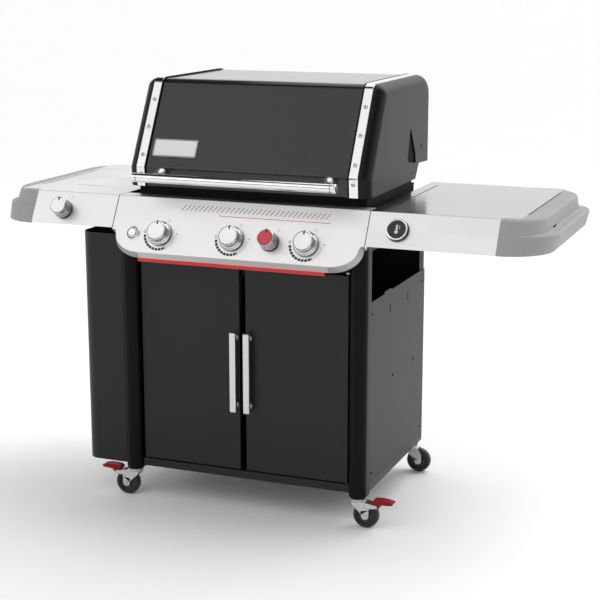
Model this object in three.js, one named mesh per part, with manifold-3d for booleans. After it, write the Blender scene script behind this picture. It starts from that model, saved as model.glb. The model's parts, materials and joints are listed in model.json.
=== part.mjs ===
// Full-size three-burner gas barbecue grill on a four-caster cabinet cart.
// Millimetres, +Z up, X to the right, +Y to the back. The origin is on the ground under the middle.
import * as THREE from "three";
import { mergeVertices } from "three/addons/utils/BufferGeometryUtils.js";
import Module from "manifold-3d";

const wasm = await Module();
wasm.setup();

// ---- driving dimensions ----
const GAP = 0.3; // air between pieces that touch
const SHEET = 3; // pressed steel sheet
const CAST = 4; // cast aluminium wall

const HALF_WIDTH = 860; // middle to the outer side of an end cap
const TABLE_Z = 928.3; // table tops
const FACE_FOOT_Z = 837; // lower edge of the table fronts
const FACE_TOP_Y = -252.5; // upper front edge of tables and panel
const LEAN = THREE.MathUtils.degToRad(29.47); // front faces, from upright
const TABLE_REAR_Y = 348;
const SEAM_LEFT_X = -441; // left table to control panel
const SEAM_RIGHT_X = 347; // control panel to right table
const TABLE_END_X = 716; // outer end of both steel fronts
const TOP_END_X = 768; // outer end of the right steel top
const LEFT_TOP_END_X = 782;

const CART_X = -41; // middle of cart, cookbox and lid
const CART_FRONT_Y = -265; // door fronts
const CART_REAR_Y = 287;
const PANEL_HALF = 386; // cart middle to the outside of a side panel
const POST_OUT = 388; // cart middle to the outside of a front post
const POST_WIDTH = 54;
const POST_FRONT_Y = -290;
const POST_BACK_Y = -236;
const POST_FOOT_Z = 88;
const SHELF_FOOT_Z = 97;
const SHELF_TOP_Z = 121;
const POST_TOP_Z = 832;

const DOOR_FOOT_Z = 124;
const DOOR_TOP_Z = 742;
const DOOR_THICK = 16;
const DOOR_OUT = 329; // cart middle to the hinge edge
const DOOR_IN = 9.5; // cart middle to the meeting edge

const BOX_HALF = 358; // cookbox, half width outside
const BOX_FRONT_Y = -199;
const BOX_REAR_Y = 185;
const BOX_FOOT_Z = 770;
const BOX_TOP_Z = 950;

const LID_HALF = 377; // lid middle to the flat of a side casting
const LID_SEAM = 318; // lid middle to the end of the rolled shell
const LID_TOP_Z = 1264;
const LID_REAR_Y = 354.2;
const PIVOT_Y = 258;
const PIVOT_Z = 1050;

const TRAY_HALF = 190; // grease tray
const TRAY_FOOT_Z = 742;
const TRAY_TOP_Z = 766;

const WHEEL_R = 38;
const WHEEL_WIDTH = 25;
const CASTER_TRAIL = 27;
const CASTER_X = POST_OUT - POST_WIDTH / 2; // cart middle to the swivel axis
const CASTER_FRONT_Y = -264;
const CASTER_REAR_Y = 257;
const STEM_R = 6;
const STEM_HOLE_R = 6.4;

// ---- finishes ----
function finish(color, roughness, metalness) {
  return new THREE.MeshStandardMaterial({ color, roughness, metalness });
}
const enamel = finish(0x2a2a2b, 0.35, 0.2);
const paint = finish(0x303031, 0.5, 0.2);
const darkPaint = finish(0x1c1c1d, 0.5, 0.2);
const satinSteel = finish(0xe4e3e1, 0.35, 0.6);
const brushedSteel = finish(0xb4b3b0, 0.4, 0.9);
const chrome = finish(0xdcdcdc, 0.12, 1);
const castIron = finish(0x242424, 0.7, 0.3);
const greyPlastic = finish(0xa5a5a3, 0.55, 0);
const blackPlastic = finish(0x161616, 0.5, 0);
const redPlastic = finish(0xb01a22, 0.45, 0);
const zinc = finish(0xbdbdbb, 0.35, 0.8);
const rubber = finish(0x262626, 0.8, 0);

// ---- making and joining solids ----
function toSolid(geometry) {
  const plain = new THREE.BufferGeometry();
  plain.setAttribute("position", geometry.getAttribute("position").clone());
  if (geometry.index) plain.setIndex(geometry.index.clone());
  const merged = mergeVertices(plain, 1e-4);
  const vertProperties = new Float32Array(merged.attributes.position.array);
  const triVerts = new Uint32Array(merged.index.array);
  return new wasm.Manifold(new wasm.Mesh({ numProp: 3, vertProperties, triVerts }));
}
function toGeometry(solid) {
  const made = solid.getMesh();
  const points = new Float32Array(made.numVert * 3);
  for (let i = 0; i < made.numVert; i++) {
    const first = i * made.numProp;
    points.set(made.vertProperties.subarray(first, first + 3), i * 3);
  }
  const geometry = new THREE.BufferGeometry();
  geometry.setAttribute("position", new THREE.BufferAttribute(points, 3));
  geometry.setIndex(new THREE.BufferAttribute(new Uint32Array(made.triVerts), 1));
  return geometry;
}
function join(...geometries) {
  const solids = geometries.map(toSolid);
  return toGeometry(solids.reduce((all, next) => all.add(next)));
}
function cut(geometry, ...tools) {
  const solid = tools.reduce((left, tool) => left.subtract(toSolid(tool)), toSolid(geometry));
  return toGeometry(solid);
}
// The same indexed piece on the other side of X = 0.
function mirrored(geometry) {
  const index = geometry.index.array;
  for (let i = 0; i < index.length; i += 3) [index[i + 1], index[i + 2]] = [index[i + 2], index[i + 1]];
  return geometry.scale(-1, 1, 1);
}

// A block from one corner to the other.
function block(x0, x1, y0, y1, z0, z1) {
  const geometry = new THREE.BoxGeometry(x1 - x0, y1 - y0, z1 - z0);
  return geometry.translate((x0 + x1) / 2, (y0 + y1) / 2, (z0 + z1) / 2);
}
// The two ends of a run that lies on one side of the middle, in rising order.
function span(side, inner, outer) {
  return side > 0 ? [inner, outer] : [-outer, -inner];
}
function outline(points) {
  return new THREE.Shape(points.map(([a, b]) => new THREE.Vector2(a, b)));
}
// An outline in X and Y, raised from z0 to z1.
function prismZ(shape, z0, z1, curveSegments = 6) {
  const geometry = new THREE.ExtrudeGeometry(shape, { depth: z1 - z0, bevelEnabled: false, curveSegments });
  return geometry.translate(0, 0, z0);
}
// An outline in Y and Z, drawn out from x0 to x1.
function prismX(shape, x0, x1, curveSegments = 6) {
  const along = new THREE.Matrix4().set(0, 0, 1, x0, 1, 0, 0, 0, 0, 1, 0, 0, 0, 0, 0, 1);
  const settings = { depth: x1 - x0, bevelEnabled: false, curveSegments };
  return new THREE.ExtrudeGeometry(shape, settings).applyMatrix4(along);
}
// An outline in X and Z, drawn out from y0 to y1.
function prismY(shape, y0, y1, curveSegments = 6) {
  const along = new THREE.Matrix4().set(1, 0, 0, 0, 0, 0, -1, y1, 0, 1, 0, 0, 0, 0, 0, 1);
  const settings = { depth: y1 - y0, bevelEnabled: false, curveSegments };
  return new THREE.ExtrudeGeometry(shape, settings).applyMatrix4(along);
}
// A round bar along one axis, from a to b on that axis; p and q are its place on the other two.
function rod(axis, radius, a, b, p, q, sides = 16) {
  const geometry = new THREE.CylinderGeometry(radius, radius, b - a, sides);
  const middle = (a + b) / 2;
  if (axis === "x") return geometry.rotateZ(Math.PI / 2).translate(middle, p, q);
  if (axis === "y") return geometry.translate(p, middle, q);
  return geometry.rotateX(Math.PI / 2).translate(p, q, middle);
}
// A turned piece about Z; the profile is [radius, height] pairs from the foot up.
function turned(profile, sides = 24) {
  const points = profile.map(([r, z]) => new THREE.Vector2(r, z));
  return new THREE.LatheGeometry(points, sides).rotateX(Math.PI / 2);
}
// A strip of sheet that follows an open path, with its thickness on the left of the path.
function sheetShape(path, thickness) {
  const points = path.map(([a, b]) => new THREE.Vector2(a, b));
  const normals = points.slice(1).map((point, i) => {
    const run = point.clone().sub(points[i]).normalize();
    return new THREE.Vector2(-run.y, run.x);
  });
  const inner = points.map((point, i) => {
    const before = normals[Math.max(i - 1, 0)];
    const after = normals[Math.min(i, normals.length - 1)];
    const mitre = before.clone().add(after).normalize();
    return point.clone().addScaledVector(mitre, thickness / mitre.dot(after));
  });
  return new THREE.Shape([...points, ...inner.reverse()]);
}
// Points of a quarter turn, or any arc, for use inside an outline.
function arc(cx, cy, rx, ry, from, to, steps = 5) {
  const points = [];
  for (let i = 0; i <= steps; i++) {
    const angle = THREE.MathUtils.degToRad(from + ((to - from) * i) / steps);
    points.push([cx + rx * Math.cos(angle), cy + ry * Math.sin(angle)]);
  }
  return points;
}
// A closed skin through stacked rings of equally many [x, y] points, each ring at its own height.
function loft(rings) {
  const count = rings[0].points.length;
  const points = rings.flatMap((ring) => ring.points.flatMap(([x, y]) => [x, y, ring.z]));
  const faces = [];
  for (let r = 0; r + 1 < rings.length; r++) {
    for (let i = 0; i < count; i++) {
      const a = r * count + i;
      const b = r * count + ((i + 1) % count);
      faces.push(a, b, b + count, a, b + count, a + count);
    }
  }
  const flat = rings[0].points.map(([x, y]) => new THREE.Vector2(x, y));
  const top = (rings.length - 1) * count;
  for (const [a, b, c] of THREE.ShapeUtils.triangulateShape(flat, [])) {
    faces.push(a, c, b, top + a, top + b, top + c);
  }
  const geometry = new THREE.BufferGeometry();
  geometry.setAttribute("position", new THREE.Float32BufferAttribute(points, 3));
  geometry.setIndex(faces);
  return geometry;
}

const grill = new THREE.Group();
function add(name, geometry, material, parent = grill) {
  const piece = new THREE.Mesh(geometry, material);
  piece.name = name;
  parent.add(piece);
  return piece;
}
function group(x, y, z, parent = grill) {
  const made = new THREE.Group();
  made.position.set(x, y, z);
  parent.add(made);
  return made;
}

// The sloping front: its local x is X, its local y runs up the slope, and its local z points out.
const front = group(0, FACE_TOP_Y, TABLE_Z);
front.rotation.x = Math.PI / 2 - LEAN;

// Where the sloping front plane is at a height.
function faceY(z) {
  return FACE_TOP_Y - (TABLE_Z - z) * Math.tan(LEAN);
}

// ---- cart ----
const cart = group(CART_X, 0, 0);

function postGeometry() {
  const half = POST_WIDTH / 2;
  const r = 26;
  const skin = (inset) => {
    const near = POST_FRONT_Y + inset;
    const far = POST_BACK_Y - inset;
    const side = half - inset;
    const round = r - inset;
    return [
      [side, far],
      [-side, far],
      ...arc(-side + round, near + round, round, round, 180, 270),
      ...arc(side - round, near + round, round, round, 270, 360),
    ];
  };
  const shape = outline(skin(0));
  const bore = outline(skin(2.5));
  const tube = cut(prismZ(shape, POST_FOOT_Z, POST_TOP_Z), prismZ(bore, POST_FOOT_Z + 24, POST_TOP_Z + 1));
  const socket = rod("z", STEM_HOLE_R, POST_FOOT_Z - 1, POST_FOOT_Z + 25, 0, CASTER_FRONT_Y, 12);
  return cut(tube, socket);
}
for (const [name, side] of [["post_front_left", -1], ["post_front_right", 1]]) {
  add(name, postGeometry(), paint, cart).position.x = side * (POST_OUT - POST_WIDTH / 2);
}

// Back panel with a flange at each end, and an arm at each side that runs forward to the front post.
const REAR_FLANGE = 46;
const ARM = 24; // square section of the side arms
function rearFrame() {
  const half = PANEL_HALF - SHEET - GAP;
  const foot = SHELF_TOP_Z + GAP;
  const pieces = [block(-half, half, CART_REAR_Y - SHEET, CART_REAR_Y, foot, POST_TOP_Z)];
  for (const side of [-1, 1]) {
    const flange = span(side, half - SHEET, half);
    const arm = span(side, half - ARM, half);
    pieces.push(block(...flange, CART_REAR_Y - REAR_FLANGE, CART_REAR_Y, foot, POST_TOP_Z));
    pieces.push(block(...arm, POST_BACK_Y + GAP, CART_REAR_Y, POST_TOP_Z - ARM, POST_TOP_Z));
  }
  const slot = block(
    -TRAY_HALF - 3,
    TRAY_HALF + 3,
    CART_REAR_Y - SHEET - 1,
    CART_REAR_Y + 1,
    TRAY_FOOT_Z - 3,
    TRAY_TOP_Z + 3,
  );
  return cut(join(...pieces), slot);
}
add("rear_frame", rearFrame(), darkPaint, cart);

// Floor of the cabinet: a pan turned upside down, notched for the front posts.
function baseShelf() {
  const half = PANEL_HALF;
  const pan = block(-half, half, CART_FRONT_Y, CART_REAR_Y, SHELF_FOOT_Z, SHELF_TOP_Z);
  const hollow = block(
    -half + SHEET,
    half - SHEET,
    CART_FRONT_Y + SHEET,
    CART_REAR_Y - SHEET,
    SHELF_FOOT_Z - 1,
    SHELF_TOP_Z - SHEET,
  );
  const notches = [-1, 1].map((side) => {
    const ends = span(side, POST_OUT - POST_WIDTH - GAP, half + 1);
    return block(...ends, CART_FRONT_Y - 1, POST_BACK_Y + GAP, SHELF_FOOT_Z - 1, SHELF_TOP_Z + 1);
  });
  const pads = [-1, 1].map((side) => {
    const ends = [side * CASTER_X - 18, side * CASTER_X + 18];
    return block(...ends, CASTER_REAR_Y - 22, CASTER_REAR_Y + 22, POST_FOOT_Z, SHELF_TOP_Z - 1);
  });
  const sockets = [-1, 1].map((side) => {
    return rod("z", STEM_HOLE_R, POST_FOOT_Z - 1, POST_FOOT_Z + 25, side * CASTER_X, CASTER_REAR_Y, 12);
  });
  return cut(join(cut(pan, hollow, ...notches), ...pads), ...sockets);
}
add("base_shelf", baseShelf(), paint, cart);

const PANEL_TOP_Z = 662;
function sidePanel(side) {
  const y0 = POST_BACK_Y + GAP;
  const face = outline([
    [y0, SHELF_TOP_Z + GAP],
    [CART_REAR_Y, SHELF_TOP_Z + GAP],
    [CART_REAR_Y, PANEL_TOP_Z],
    [-45, PANEL_TOP_Z],
    [-50, PANEL_TOP_Z + 6],
    [-112, PANEL_TOP_Z + 6],
    [-117, PANEL_TOP_Z],
    [y0, PANEL_TOP_Z],
  ]);
  const window = (y, z, width, height) => {
    const [y0, y1, z0, z1] = [y - width / 2, y + width / 2, z - height / 2, z + height / 2];
    return block(PANEL_HALF - SHEET - 1, PANEL_HALF + 1, y0, y1, z0, z1);
  };
  const slots = [-60, 113].map((y) => window(y, 608, 6, 26));
  const holes = [-27, 176].map((y) => window(y, 396, 9, 9));
  const sheet = cut(prismX(face, PANEL_HALF - SHEET, PANEL_HALF), ...slots, ...holes);
  if (side > 0) return sheet;
  return sheet.translate(-2 * PANEL_HALF + SHEET, 0, 0);
}
add("side_panel_right", sidePanel(1), paint, cart);
add("side_panel_left", sidePanel(-1), paint, cart);

// Cross rail behind the top of the doors.
function headerRail() {
  const half = POST_OUT - POST_WIDTH - GAP;
  const path = [[-244, 712], [-244, 760], [-214, 760]];
  return prismX(sheetShape(path, -SHEET), -half, half);
}
add("header_rail", headerRail(), darkPaint, cart);

// Bent screen in front of the gas cylinder, open behind.
function tankShroud() {
  const right = -POST_OUT - GAP;
  const left = -531;
  const r = 40;
  const path = [
    [right, CART_FRONT_Y],
    ...arc(left + r, CART_FRONT_Y + r, r, r, 270, 180),
    [left, CART_FRONT_Y + 100],
  ];
  const sheet = prismZ(sheetShape(path, -SHEET), 99, 812);
  const tab = block(right - SHEET, right, CART_FRONT_Y, CART_FRONT_Y + 24, 99, 812);
  return join(sheet, tab);
}
add("tank_shroud", tankShroud(), paint, cart);

// Hook plate for a gas cylinder, on the outside of the left panel.
function tankHanger() {
  const wall = -PANEL_HALF - GAP;
  const plate = block(wall - SHEET, wall, 10, 110, 470, 560);
  const arm = block(wall - 130, wall, 30, 90, 470, 476);
  const lip = block(wall - 130, wall - 124, 30, 90, 470, 500);
  return join(plate, arm, lip);
}
add("tank_hanger", tankHanger(), zinc, cart);

// Folded sheet doors, hollow at the back.
function doorGeometry(side) {
  const ends = span(side, DOOR_IN, DOOR_OUT);
  const back = CART_FRONT_Y + DOOR_THICK;
  const slab = block(...ends, CART_FRONT_Y, back, DOOR_FOOT_Z, DOOR_TOP_Z);
  const hollow = block(
    ends[0] + SHEET,
    ends[1] - SHEET,
    CART_FRONT_Y + SHEET,
    back + 1,
    DOOR_FOOT_Z + SHEET,
    DOOR_TOP_Z - SHEET,
  );
  return cut(slab, hollow);
}
// Flat bar pull with a standoff at each end.
const PULL_Z0 = 308;
const PULL_Z1 = 549;
const PULL_WIDTH = 23;
const PULL_FRONT_Y = -298;
function pullGeometry() {
  const half = PULL_WIDTH / 2;
  const bar = block(-half, half, PULL_FRONT_Y, PULL_FRONT_Y + 8, PULL_Z0, PULL_Z1);
  const feet = [PULL_Z0 + 18, PULL_Z1 - 18].map((z) => {
    return rod("y", 6, PULL_FRONT_Y + 4, CART_FRONT_Y - GAP, 0, z, 10);
  });
  return join(bar, ...feet);
}
for (const [word, side] of [["left", -1], ["right", 1]]) {
  add("door_" + word, doorGeometry(side), paint, cart);
  const pull = add("door_handle_" + word, pullGeometry(), brushedSteel, cart);
  pull.position.x = side * (DOOR_IN + 5 + PULL_WIDTH / 2);
}

// ---- cookbox and what it holds ----
const box = group(CART_X, 0, 0);
const BOX_RIM_Z = 968; // top of the rim at the front and sides
const LEDGE = 12; // depth of the shelves that carry the grates
const LUG_IN = 326; // hinge lugs, box middle to the inner side
const LUG_OUT = 342;
const PIN_R = 5;
const PIN_OUT = LID_HALF - 1;
const RUNNER_FRONT_Y = -150;
const RUNNER_REAR_Y = 280;

function cookbox() {
  const half = BOX_HALF;
  const ring = (inset, z) => {
    const [x, y0, y1] = [half - inset, BOX_FRONT_Y + inset, BOX_REAR_Y - inset];
    return { z, points: [[-x, y0], [x, y0], [x, y1], [-x, y1]] };
  };
  const outer = loft([ring(62, BOX_FOOT_Z), ring(0, 850), ring(0, BOX_TOP_Z)]);
  const inner = loft([ring(62 + CAST, BOX_FOOT_Z - 1), ring(CAST, 850), ring(CAST, BOX_TOP_Z + 1)]);
  const ledges = [BOX_FRONT_Y + 1, BOX_REAR_Y - 1 - LEDGE].map((y) => {
    return block(-half + 1, half - 1, y, y + LEDGE, 921, 925);
  });
  const lugs = [-1, 1].map((side) => {
    const plate = outline([
      [BOX_REAR_Y - 3, 880],
      [BOX_REAR_Y + 14, 920],
      ...arc(PIVOT_Y, PIVOT_Z, 14, 14, -30, 130, 6),
      [BOX_REAR_Y - 3, 946],
    ]);
    return prismX(plate, ...span(side, LUG_IN, LUG_OUT));
  });
  const pins = [-1, 1].map((side) => rod("x", PIN_R, ...span(side, LUG_IN, PIN_OUT), PIVOT_Y, PIVOT_Z, 12));
  const cheeks = [-1, 1].map((side) => {
    return block(...span(side, half - CAST, half), BOX_REAR_Y - 2, BOX_REAR_Y + 60, 896, 936);
  });
  const shell = cut(outer, inner);
  const rim = [
    block(-half, half, BOX_FRONT_Y, BOX_FRONT_Y + CAST, BOX_TOP_Z - 2, BOX_RIM_Z),
    block(-half, -half + CAST, BOX_FRONT_Y, 120, BOX_TOP_Z - 2, BOX_RIM_Z),
    block(half - CAST, half, BOX_FRONT_Y, 120, BOX_TOP_Z - 2, BOX_RIM_Z),
  ];
  const runners = [-1, 1].flatMap((side) => {
    const web = span(side, TRAY_HALF + 1, TRAY_HALF + 4);
    const lip = span(side, TRAY_HALF - 14, TRAY_HALF + 4);
    return [
      block(...web, RUNNER_FRONT_Y, RUNNER_REAR_Y, TRAY_FOOT_Z - 5, BOX_FOOT_Z + 5),
      block(...lip, RUNNER_FRONT_Y, RUNNER_REAR_Y, TRAY_FOOT_Z - 5, TRAY_FOOT_Z - 2),
    ];
  });
  return join(shell, ...rim, ...runners, ...ledges, ...lugs, ...pins, ...cheeks);
}
add("cookbox", cookbox(), castIron, box);

const GRATE_Z = 926;
function cookingGrate() {
  const half = 172;
  const y0 = BOX_FRONT_Y + CAST + 3;
  const y1 = BOX_REAR_Y - CAST - 3;
  const bars = [];
  for (let i = 0; i < 12; i++) {
    const x = -half + 5 + (i * (2 * half - 10)) / 11;
    bars.push(block(x - 4, x + 4, y0, y1, GRATE_Z, GRATE_Z + 9));
  }
  const ties = [y0, (y0 + y1) / 2 - 4, y1 - 8].map((y) => block(-half, half, y, y + 8, GRATE_Z, GRATE_Z + 6));
  return join(...ties, ...bars);
}
for (const [name, side] of [["cooking_grate_left", -1], ["cooking_grate_right", 1]]) {
  add(name, cookingGrate(), castIron, box).position.x = side * 174;
}

// Peaked steel bars that shield the burners, one above each.
const BURNER_PITCH = 227;
const BURNER_Z = 856;
function deflector() {
  const path = [[-34, 884], [0, 914], [34, 884]];
  return prismY(sheetShape(path, -2), BOX_FRONT_Y + CAST + 2, BOX_REAR_Y - CAST - 2);
}
function burner(length) {
  const y0 = BOX_FRONT_Y + CAST + 7;
  return rod("y", 12, y0, y0 + length, 0, BURNER_Z, 12);
}
[-1, 0, 1].forEach((place, i) => {
  add("heat_deflector_" + (i + 1), deflector(), castIron, box).position.x = place * BURNER_PITCH;
  add("burner_" + (i + 1), burner(360), brushedSteel, box).position.x = place * BURNER_PITCH;
});
add("sear_burner", burner(250), brushedSteel, box).position.x = BURNER_PITCH / 2;

// Raised rack at the back of the cookbox.
function warmingRack() {
  const half = 320;
  const wires = [52, 92, 132, 168].map((y) => rod("x", 3, -half, half, y, 1010, 6));
  const ends = [-1, 1].map((side) => {
    const x = side * (half - 6);
    const rail = rod("y", 3, 46, 174, x, 1010, 6);
    const legs = [60, 160].map((y) => rod("z", 3, GRATE_Z + 9 + GAP, 1010, x, y, 6));
    return [rail, ...legs];
  });
  return join(...wires, ...ends.flat());
}
add("warming_rack", warmingRack(), chrome, box);

// Gas rail behind the control panel, with a valve body under each knob.
const KNOB_X = [-281, -53, 65, 175];
const KNOB_S = 112; // down the slope from the top edge
const VALVE_TOP = -45; // inward from the face
const VALVE_LONG = 34;
function gasManifold() {
  const middle = VALVE_TOP - VALVE_LONG / 2;
  const y = faceY(TABLE_Z - KNOB_S * Math.cos(LEAN)) - middle * Math.cos(LEAN);
  const z = TABLE_Z - KNOB_S * Math.cos(LEAN) + middle * Math.sin(LEAN);
  const pipe = rod("x", 9, -340, 240, y, z, 12);
  const valves = KNOB_X.map((x) => {
    const body = new THREE.BoxGeometry(22, 26, VALVE_LONG);
    return body.rotateX(Math.PI / 2 - LEAN).translate(x, y, z);
  });
  const inlet = rod("y", 7, y, y + 30, -325, z, 10);
  return join(pipe, inlet, ...valves);
}
add("gas_manifold", gasManifold(), brushedSteel);

// Shallow tray under the cookbox, drawn out at the back by its end plate.
function greaseTray() {
  const front = -146;
  const back = CART_REAR_Y + 2;
  const pan = block(-TRAY_HALF, TRAY_HALF, front, back, TRAY_FOOT_Z, TRAY_TOP_Z);
  const hollow = block(
    -TRAY_HALF + 2,
    TRAY_HALF - 2,
    front + 2,
    CART_REAR_Y - 6,
    TRAY_FOOT_Z + 2,
    TRAY_TOP_Z + 1,
  );
  const half = TRAY_HALF + 9;
  const plate = block(-half, half, CART_REAR_Y + 1, CART_REAR_Y + 3, TRAY_FOOT_Z - 8, TRAY_TOP_Z + 8);
  const grip = block(-60, 60, CART_REAR_Y + 2, CART_REAR_Y + 24, TRAY_FOOT_Z + 8, TRAY_FOOT_Z + 12);
  return join(cut(pan, hollow), plate, grip);
}
add("grease_tray", greaseTray(), brushedSteel, box);

// ---- control panel and knobs ----
front.updateMatrix();
const PANEL_DEEP_S = 173; // lower lip, down the slope from the top edge
const SEAM_S = (TABLE_Z - FACE_FOOT_Z) / Math.cos(LEAN);
const LIP_OUT = 10; // the rolled lip runs on down the slope
const LIP_BACK = 22; // and back into the panel
const CURVE_X = 82;

// Outline of the panel face; grow moves the lip outward, and overrun moves the seam ends outward.
function panelOutline(grow, overrun, top) {
  const left = SEAM_LEFT_X + GAP - overrun;
  const right = SEAM_RIGHT_X - GAP + overrun;
  const drop = PANEL_DEEP_S - SEAM_S - 10;
  const level = -SEAM_S - 10;
  const rx = CURVE_X + grow;
  const ry = drop + grow;
  const corner = 16 + CURVE_X;
  return [
    [left, top],
    [left, -SEAM_S - grow * 0.3],
    [left + overrun + 12 - grow * 0.5, -SEAM_S - 2 - grow * 0.3],
    ...arc(SEAM_LEFT_X + corner, level, rx, ry, 180, 270, 6),
    ...arc(SEAM_RIGHT_X - corner, level, rx, ry, 270, 360, 6),
    [right - overrun - 12 + grow * 0.5, -SEAM_S - 2 - grow * 0.3],
    [right, -SEAM_S - grow * 0.3],
    [right, top],
  ];
}
function controlPanel() {
  const outer = loft([
    { z: -LIP_BACK, points: panelOutline(LIP_OUT, 0, 0) },
    { z: 0, points: panelOutline(0, 0, 0) },
  ]);
  const inner = loft([
    { z: -LIP_BACK - 1, points: panelOutline(LIP_OUT - SHEET, 1, -SHEET) },
    { z: -SHEET, points: panelOutline(-SHEET, 1, -SHEET) },
  ]);
  const holes = KNOB_X.map((x) => rod("z", 6, -SHEET - 1, 1, x, -KNOB_S, 12));
  holes.push(rod("z", 12, -SHEET - 1, 1, IGNITER_X, -IGNITER_S, 16));
  const face = cut(outer, inner, ...holes).applyMatrix4(front.matrix);
  const ledge = block(
    SEAM_LEFT_X + GAP,
    SEAM_RIGHT_X - GAP,
    FACE_TOP_Y + 1,
    BOX_FRONT_Y - 2,
    TABLE_Z - SHEET,
    TABLE_Z,
  );
  const postRoom = [-1, 1].map((side) => {
    const middle = CART_X + side * (POST_OUT - POST_WIDTH / 2);
    const half = POST_WIDTH / 2 + 1;
    const ends = [middle - half, middle + half];
    return block(...ends, POST_FRONT_Y - 1, POST_BACK_Y, POST_TOP_Z - 40, POST_TOP_Z + 1);
  });
  return cut(join(face, ledge), ...postRoom);
}
const IGNITER_X = -368;
const IGNITER_S = 115;
add("control_panel", controlPanel(), satinSteel);

const STEM_THICK = 4;
const STEM_TOP = 19.6;
const BORE = STEM_THICK + GAP;
const KNOB_LIFT = 5; // skirt to panel when not pressed in
const BOSS_R = 9;
const KNOB_WALL = 3;
// Knob as a cap over a central boss; the outside runs from the foot up to the edge of the face.
function knobGeometry(outside) {
  const [[footR], height] = [outside[0], outside.at(-1)[1]];
  const ceiling = height - KNOB_WALL;
  const inner = outside.slice(2, -1).reverse().map(([r, z]) => [r - KNOB_WALL, Math.min(z, ceiling)]);
  return turned([
    [BORE, KNOB_LIFT],
    [BOSS_R, KNOB_LIFT],
    [BOSS_R, ceiling],
    ...inner,
    [footR - KNOB_WALL, KNOB_LIFT],
    ...outside,
    [0, height],
    [0, STEM_TOP + 0.4],
    [BORE, STEM_TOP + 0.4],
    [BORE, KNOB_LIFT],
  ]);
}
function skirtedKnob() {
  return knobGeometry([[37, KNOB_LIFT], [37, KNOB_LIFT + 2], [31, 13], [30, 30], [28, 32]]);
}
function plainKnob(radius, height) {
  const foot = radius + 3;
  return knobGeometry([[foot, KNOB_LIFT], [foot, KNOB_LIFT + 1], [radius, height - 2], [radius - 2, height]]);
}
const SIDE_KNOB_X = -615;
const SIDE_KNOB_S = 58;
const knobs = [
  ["burner_knob_1", KNOB_X[0], KNOB_S, skirtedKnob(), satinSteel],
  ["burner_knob_2", KNOB_X[1], KNOB_S, skirtedKnob(), satinSteel],
  ["sear_knob", KNOB_X[2], KNOB_S + 1, plainKnob(25, 40), redPlastic],
  ["burner_knob_3", KNOB_X[3], KNOB_S, skirtedKnob(), satinSteel],
  ["side_burner_knob", SIDE_KNOB_X, SIDE_KNOB_S, plainKnob(28, 35), satinSteel],
];
for (const [name, x, s, geometry, material] of knobs) {
  const place = group(x, -s, 0, front);
  add(name, geometry, material, place);
  const stem = rod("z", STEM_THICK, VALVE_TOP + 4, STEM_TOP, 0, 0, 12);
  add(name.replace("knob", "stem"), stem, brushedSteel, place);
}
const ignite = turned([[0, -9], [14, -9], [14, -6], [11.5, -6], [11.5, 7], [10, 8], [0, 8]], 16);
add("igniter_button", ignite, chrome, group(IGNITER_X, -IGNITER_S, 0, front));

// ---- side tables ----
const SHEET_FOOT = 34; // depth of the rear flange
function tableSkin(x0, x1) {
  const path = [
    [faceY(FACE_FOOT_Z), FACE_FOOT_Z],
    [FACE_TOP_Y, TABLE_Z],
    [TABLE_REAR_Y, TABLE_Z],
    [TABLE_REAR_Y, TABLE_Z - SHEET_FOOT],
  ];
  return prismX(sheetShape(path, -SHEET), x0, x1);
}
const CAP_LEDGE_Y = -232; // the cap wraps the front corner of the top up to here
function rightTable() {
  const skin = tableSkin(SEAM_RIGHT_X + GAP, TABLE_END_X);
  const top = block(TABLE_END_X - 1, TOP_END_X, CAP_LEDGE_Y, TABLE_REAR_Y, TABLE_Z - SHEET, TABLE_Z);
  const web = block(SEAM_RIGHT_X + GAP, SEAM_RIGHT_X + GAP + SHEET, -250, TABLE_REAR_Y - 1, 838, TABLE_Z - 1);
  return join(skin, top, web);
}
add("right_table", rightTable(), brushedSteel);

const HOB = { x0: -764, x1: -476, y0: -116, y1: 235 }; // side burner lid
function leftTable() {
  const skin = tableSkin(-TABLE_END_X, SEAM_LEFT_X - GAP);
  const top = block(-LEFT_TOP_END_X, -TABLE_END_X + 1, CAP_LEDGE_Y, TABLE_REAR_Y, TABLE_Z - SHEET, TABLE_Z);
  const webEnds = [SEAM_LEFT_X - GAP - SHEET, SEAM_LEFT_X - GAP];
  const web = block(...webEnds, -250, TABLE_REAR_Y - 1, 838, TABLE_Z - 1);
  const opening = block(HOB.x0 - 2, HOB.x1 + 2, HOB.y0 - 2, HOB.y1 + 3, TABLE_Z - 20, TABLE_Z + 1);
  const hole = rod("z", 6, -SHEET - 1, 1, SIDE_KNOB_X, -SIDE_KNOB_S, 12).applyMatrix4(front.matrix);
  return cut(join(skin, top, web), opening, hole);
}
add("left_table", leftTable(), satinSteel);

// Flush lid of the side burner, with a finger notch in its front edge.
const HOB_PIVOT_Y = HOB.y1 + 1.5;
const HOB_PIVOT_Z = TABLE_Z + 0.5;
function hobLid() {
  const slab = block(HOB.x0, HOB.x1, HOB.y0, HOB.y1, TABLE_Z - 12, TABLE_Z);
  const under = block(HOB.x0 + 2, HOB.x1 - 2, HOB.y0 + 2, HOB.y1 - 2, TABLE_Z - 13, TABLE_Z - 2);
  const notch = block(-667, -573, HOB.y0 - 1, HOB.y0 + 11, TABLE_Z - 13, TABLE_Z + 1);
  const back = block(-669, -571, HOB.y0 + 11, HOB.y0 + 13, TABLE_Z - 12, TABLE_Z - 1);
  return join(cut(slab, under, notch), back);
}
add("side_burner_lid", hobLid(), satinSteel);

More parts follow.
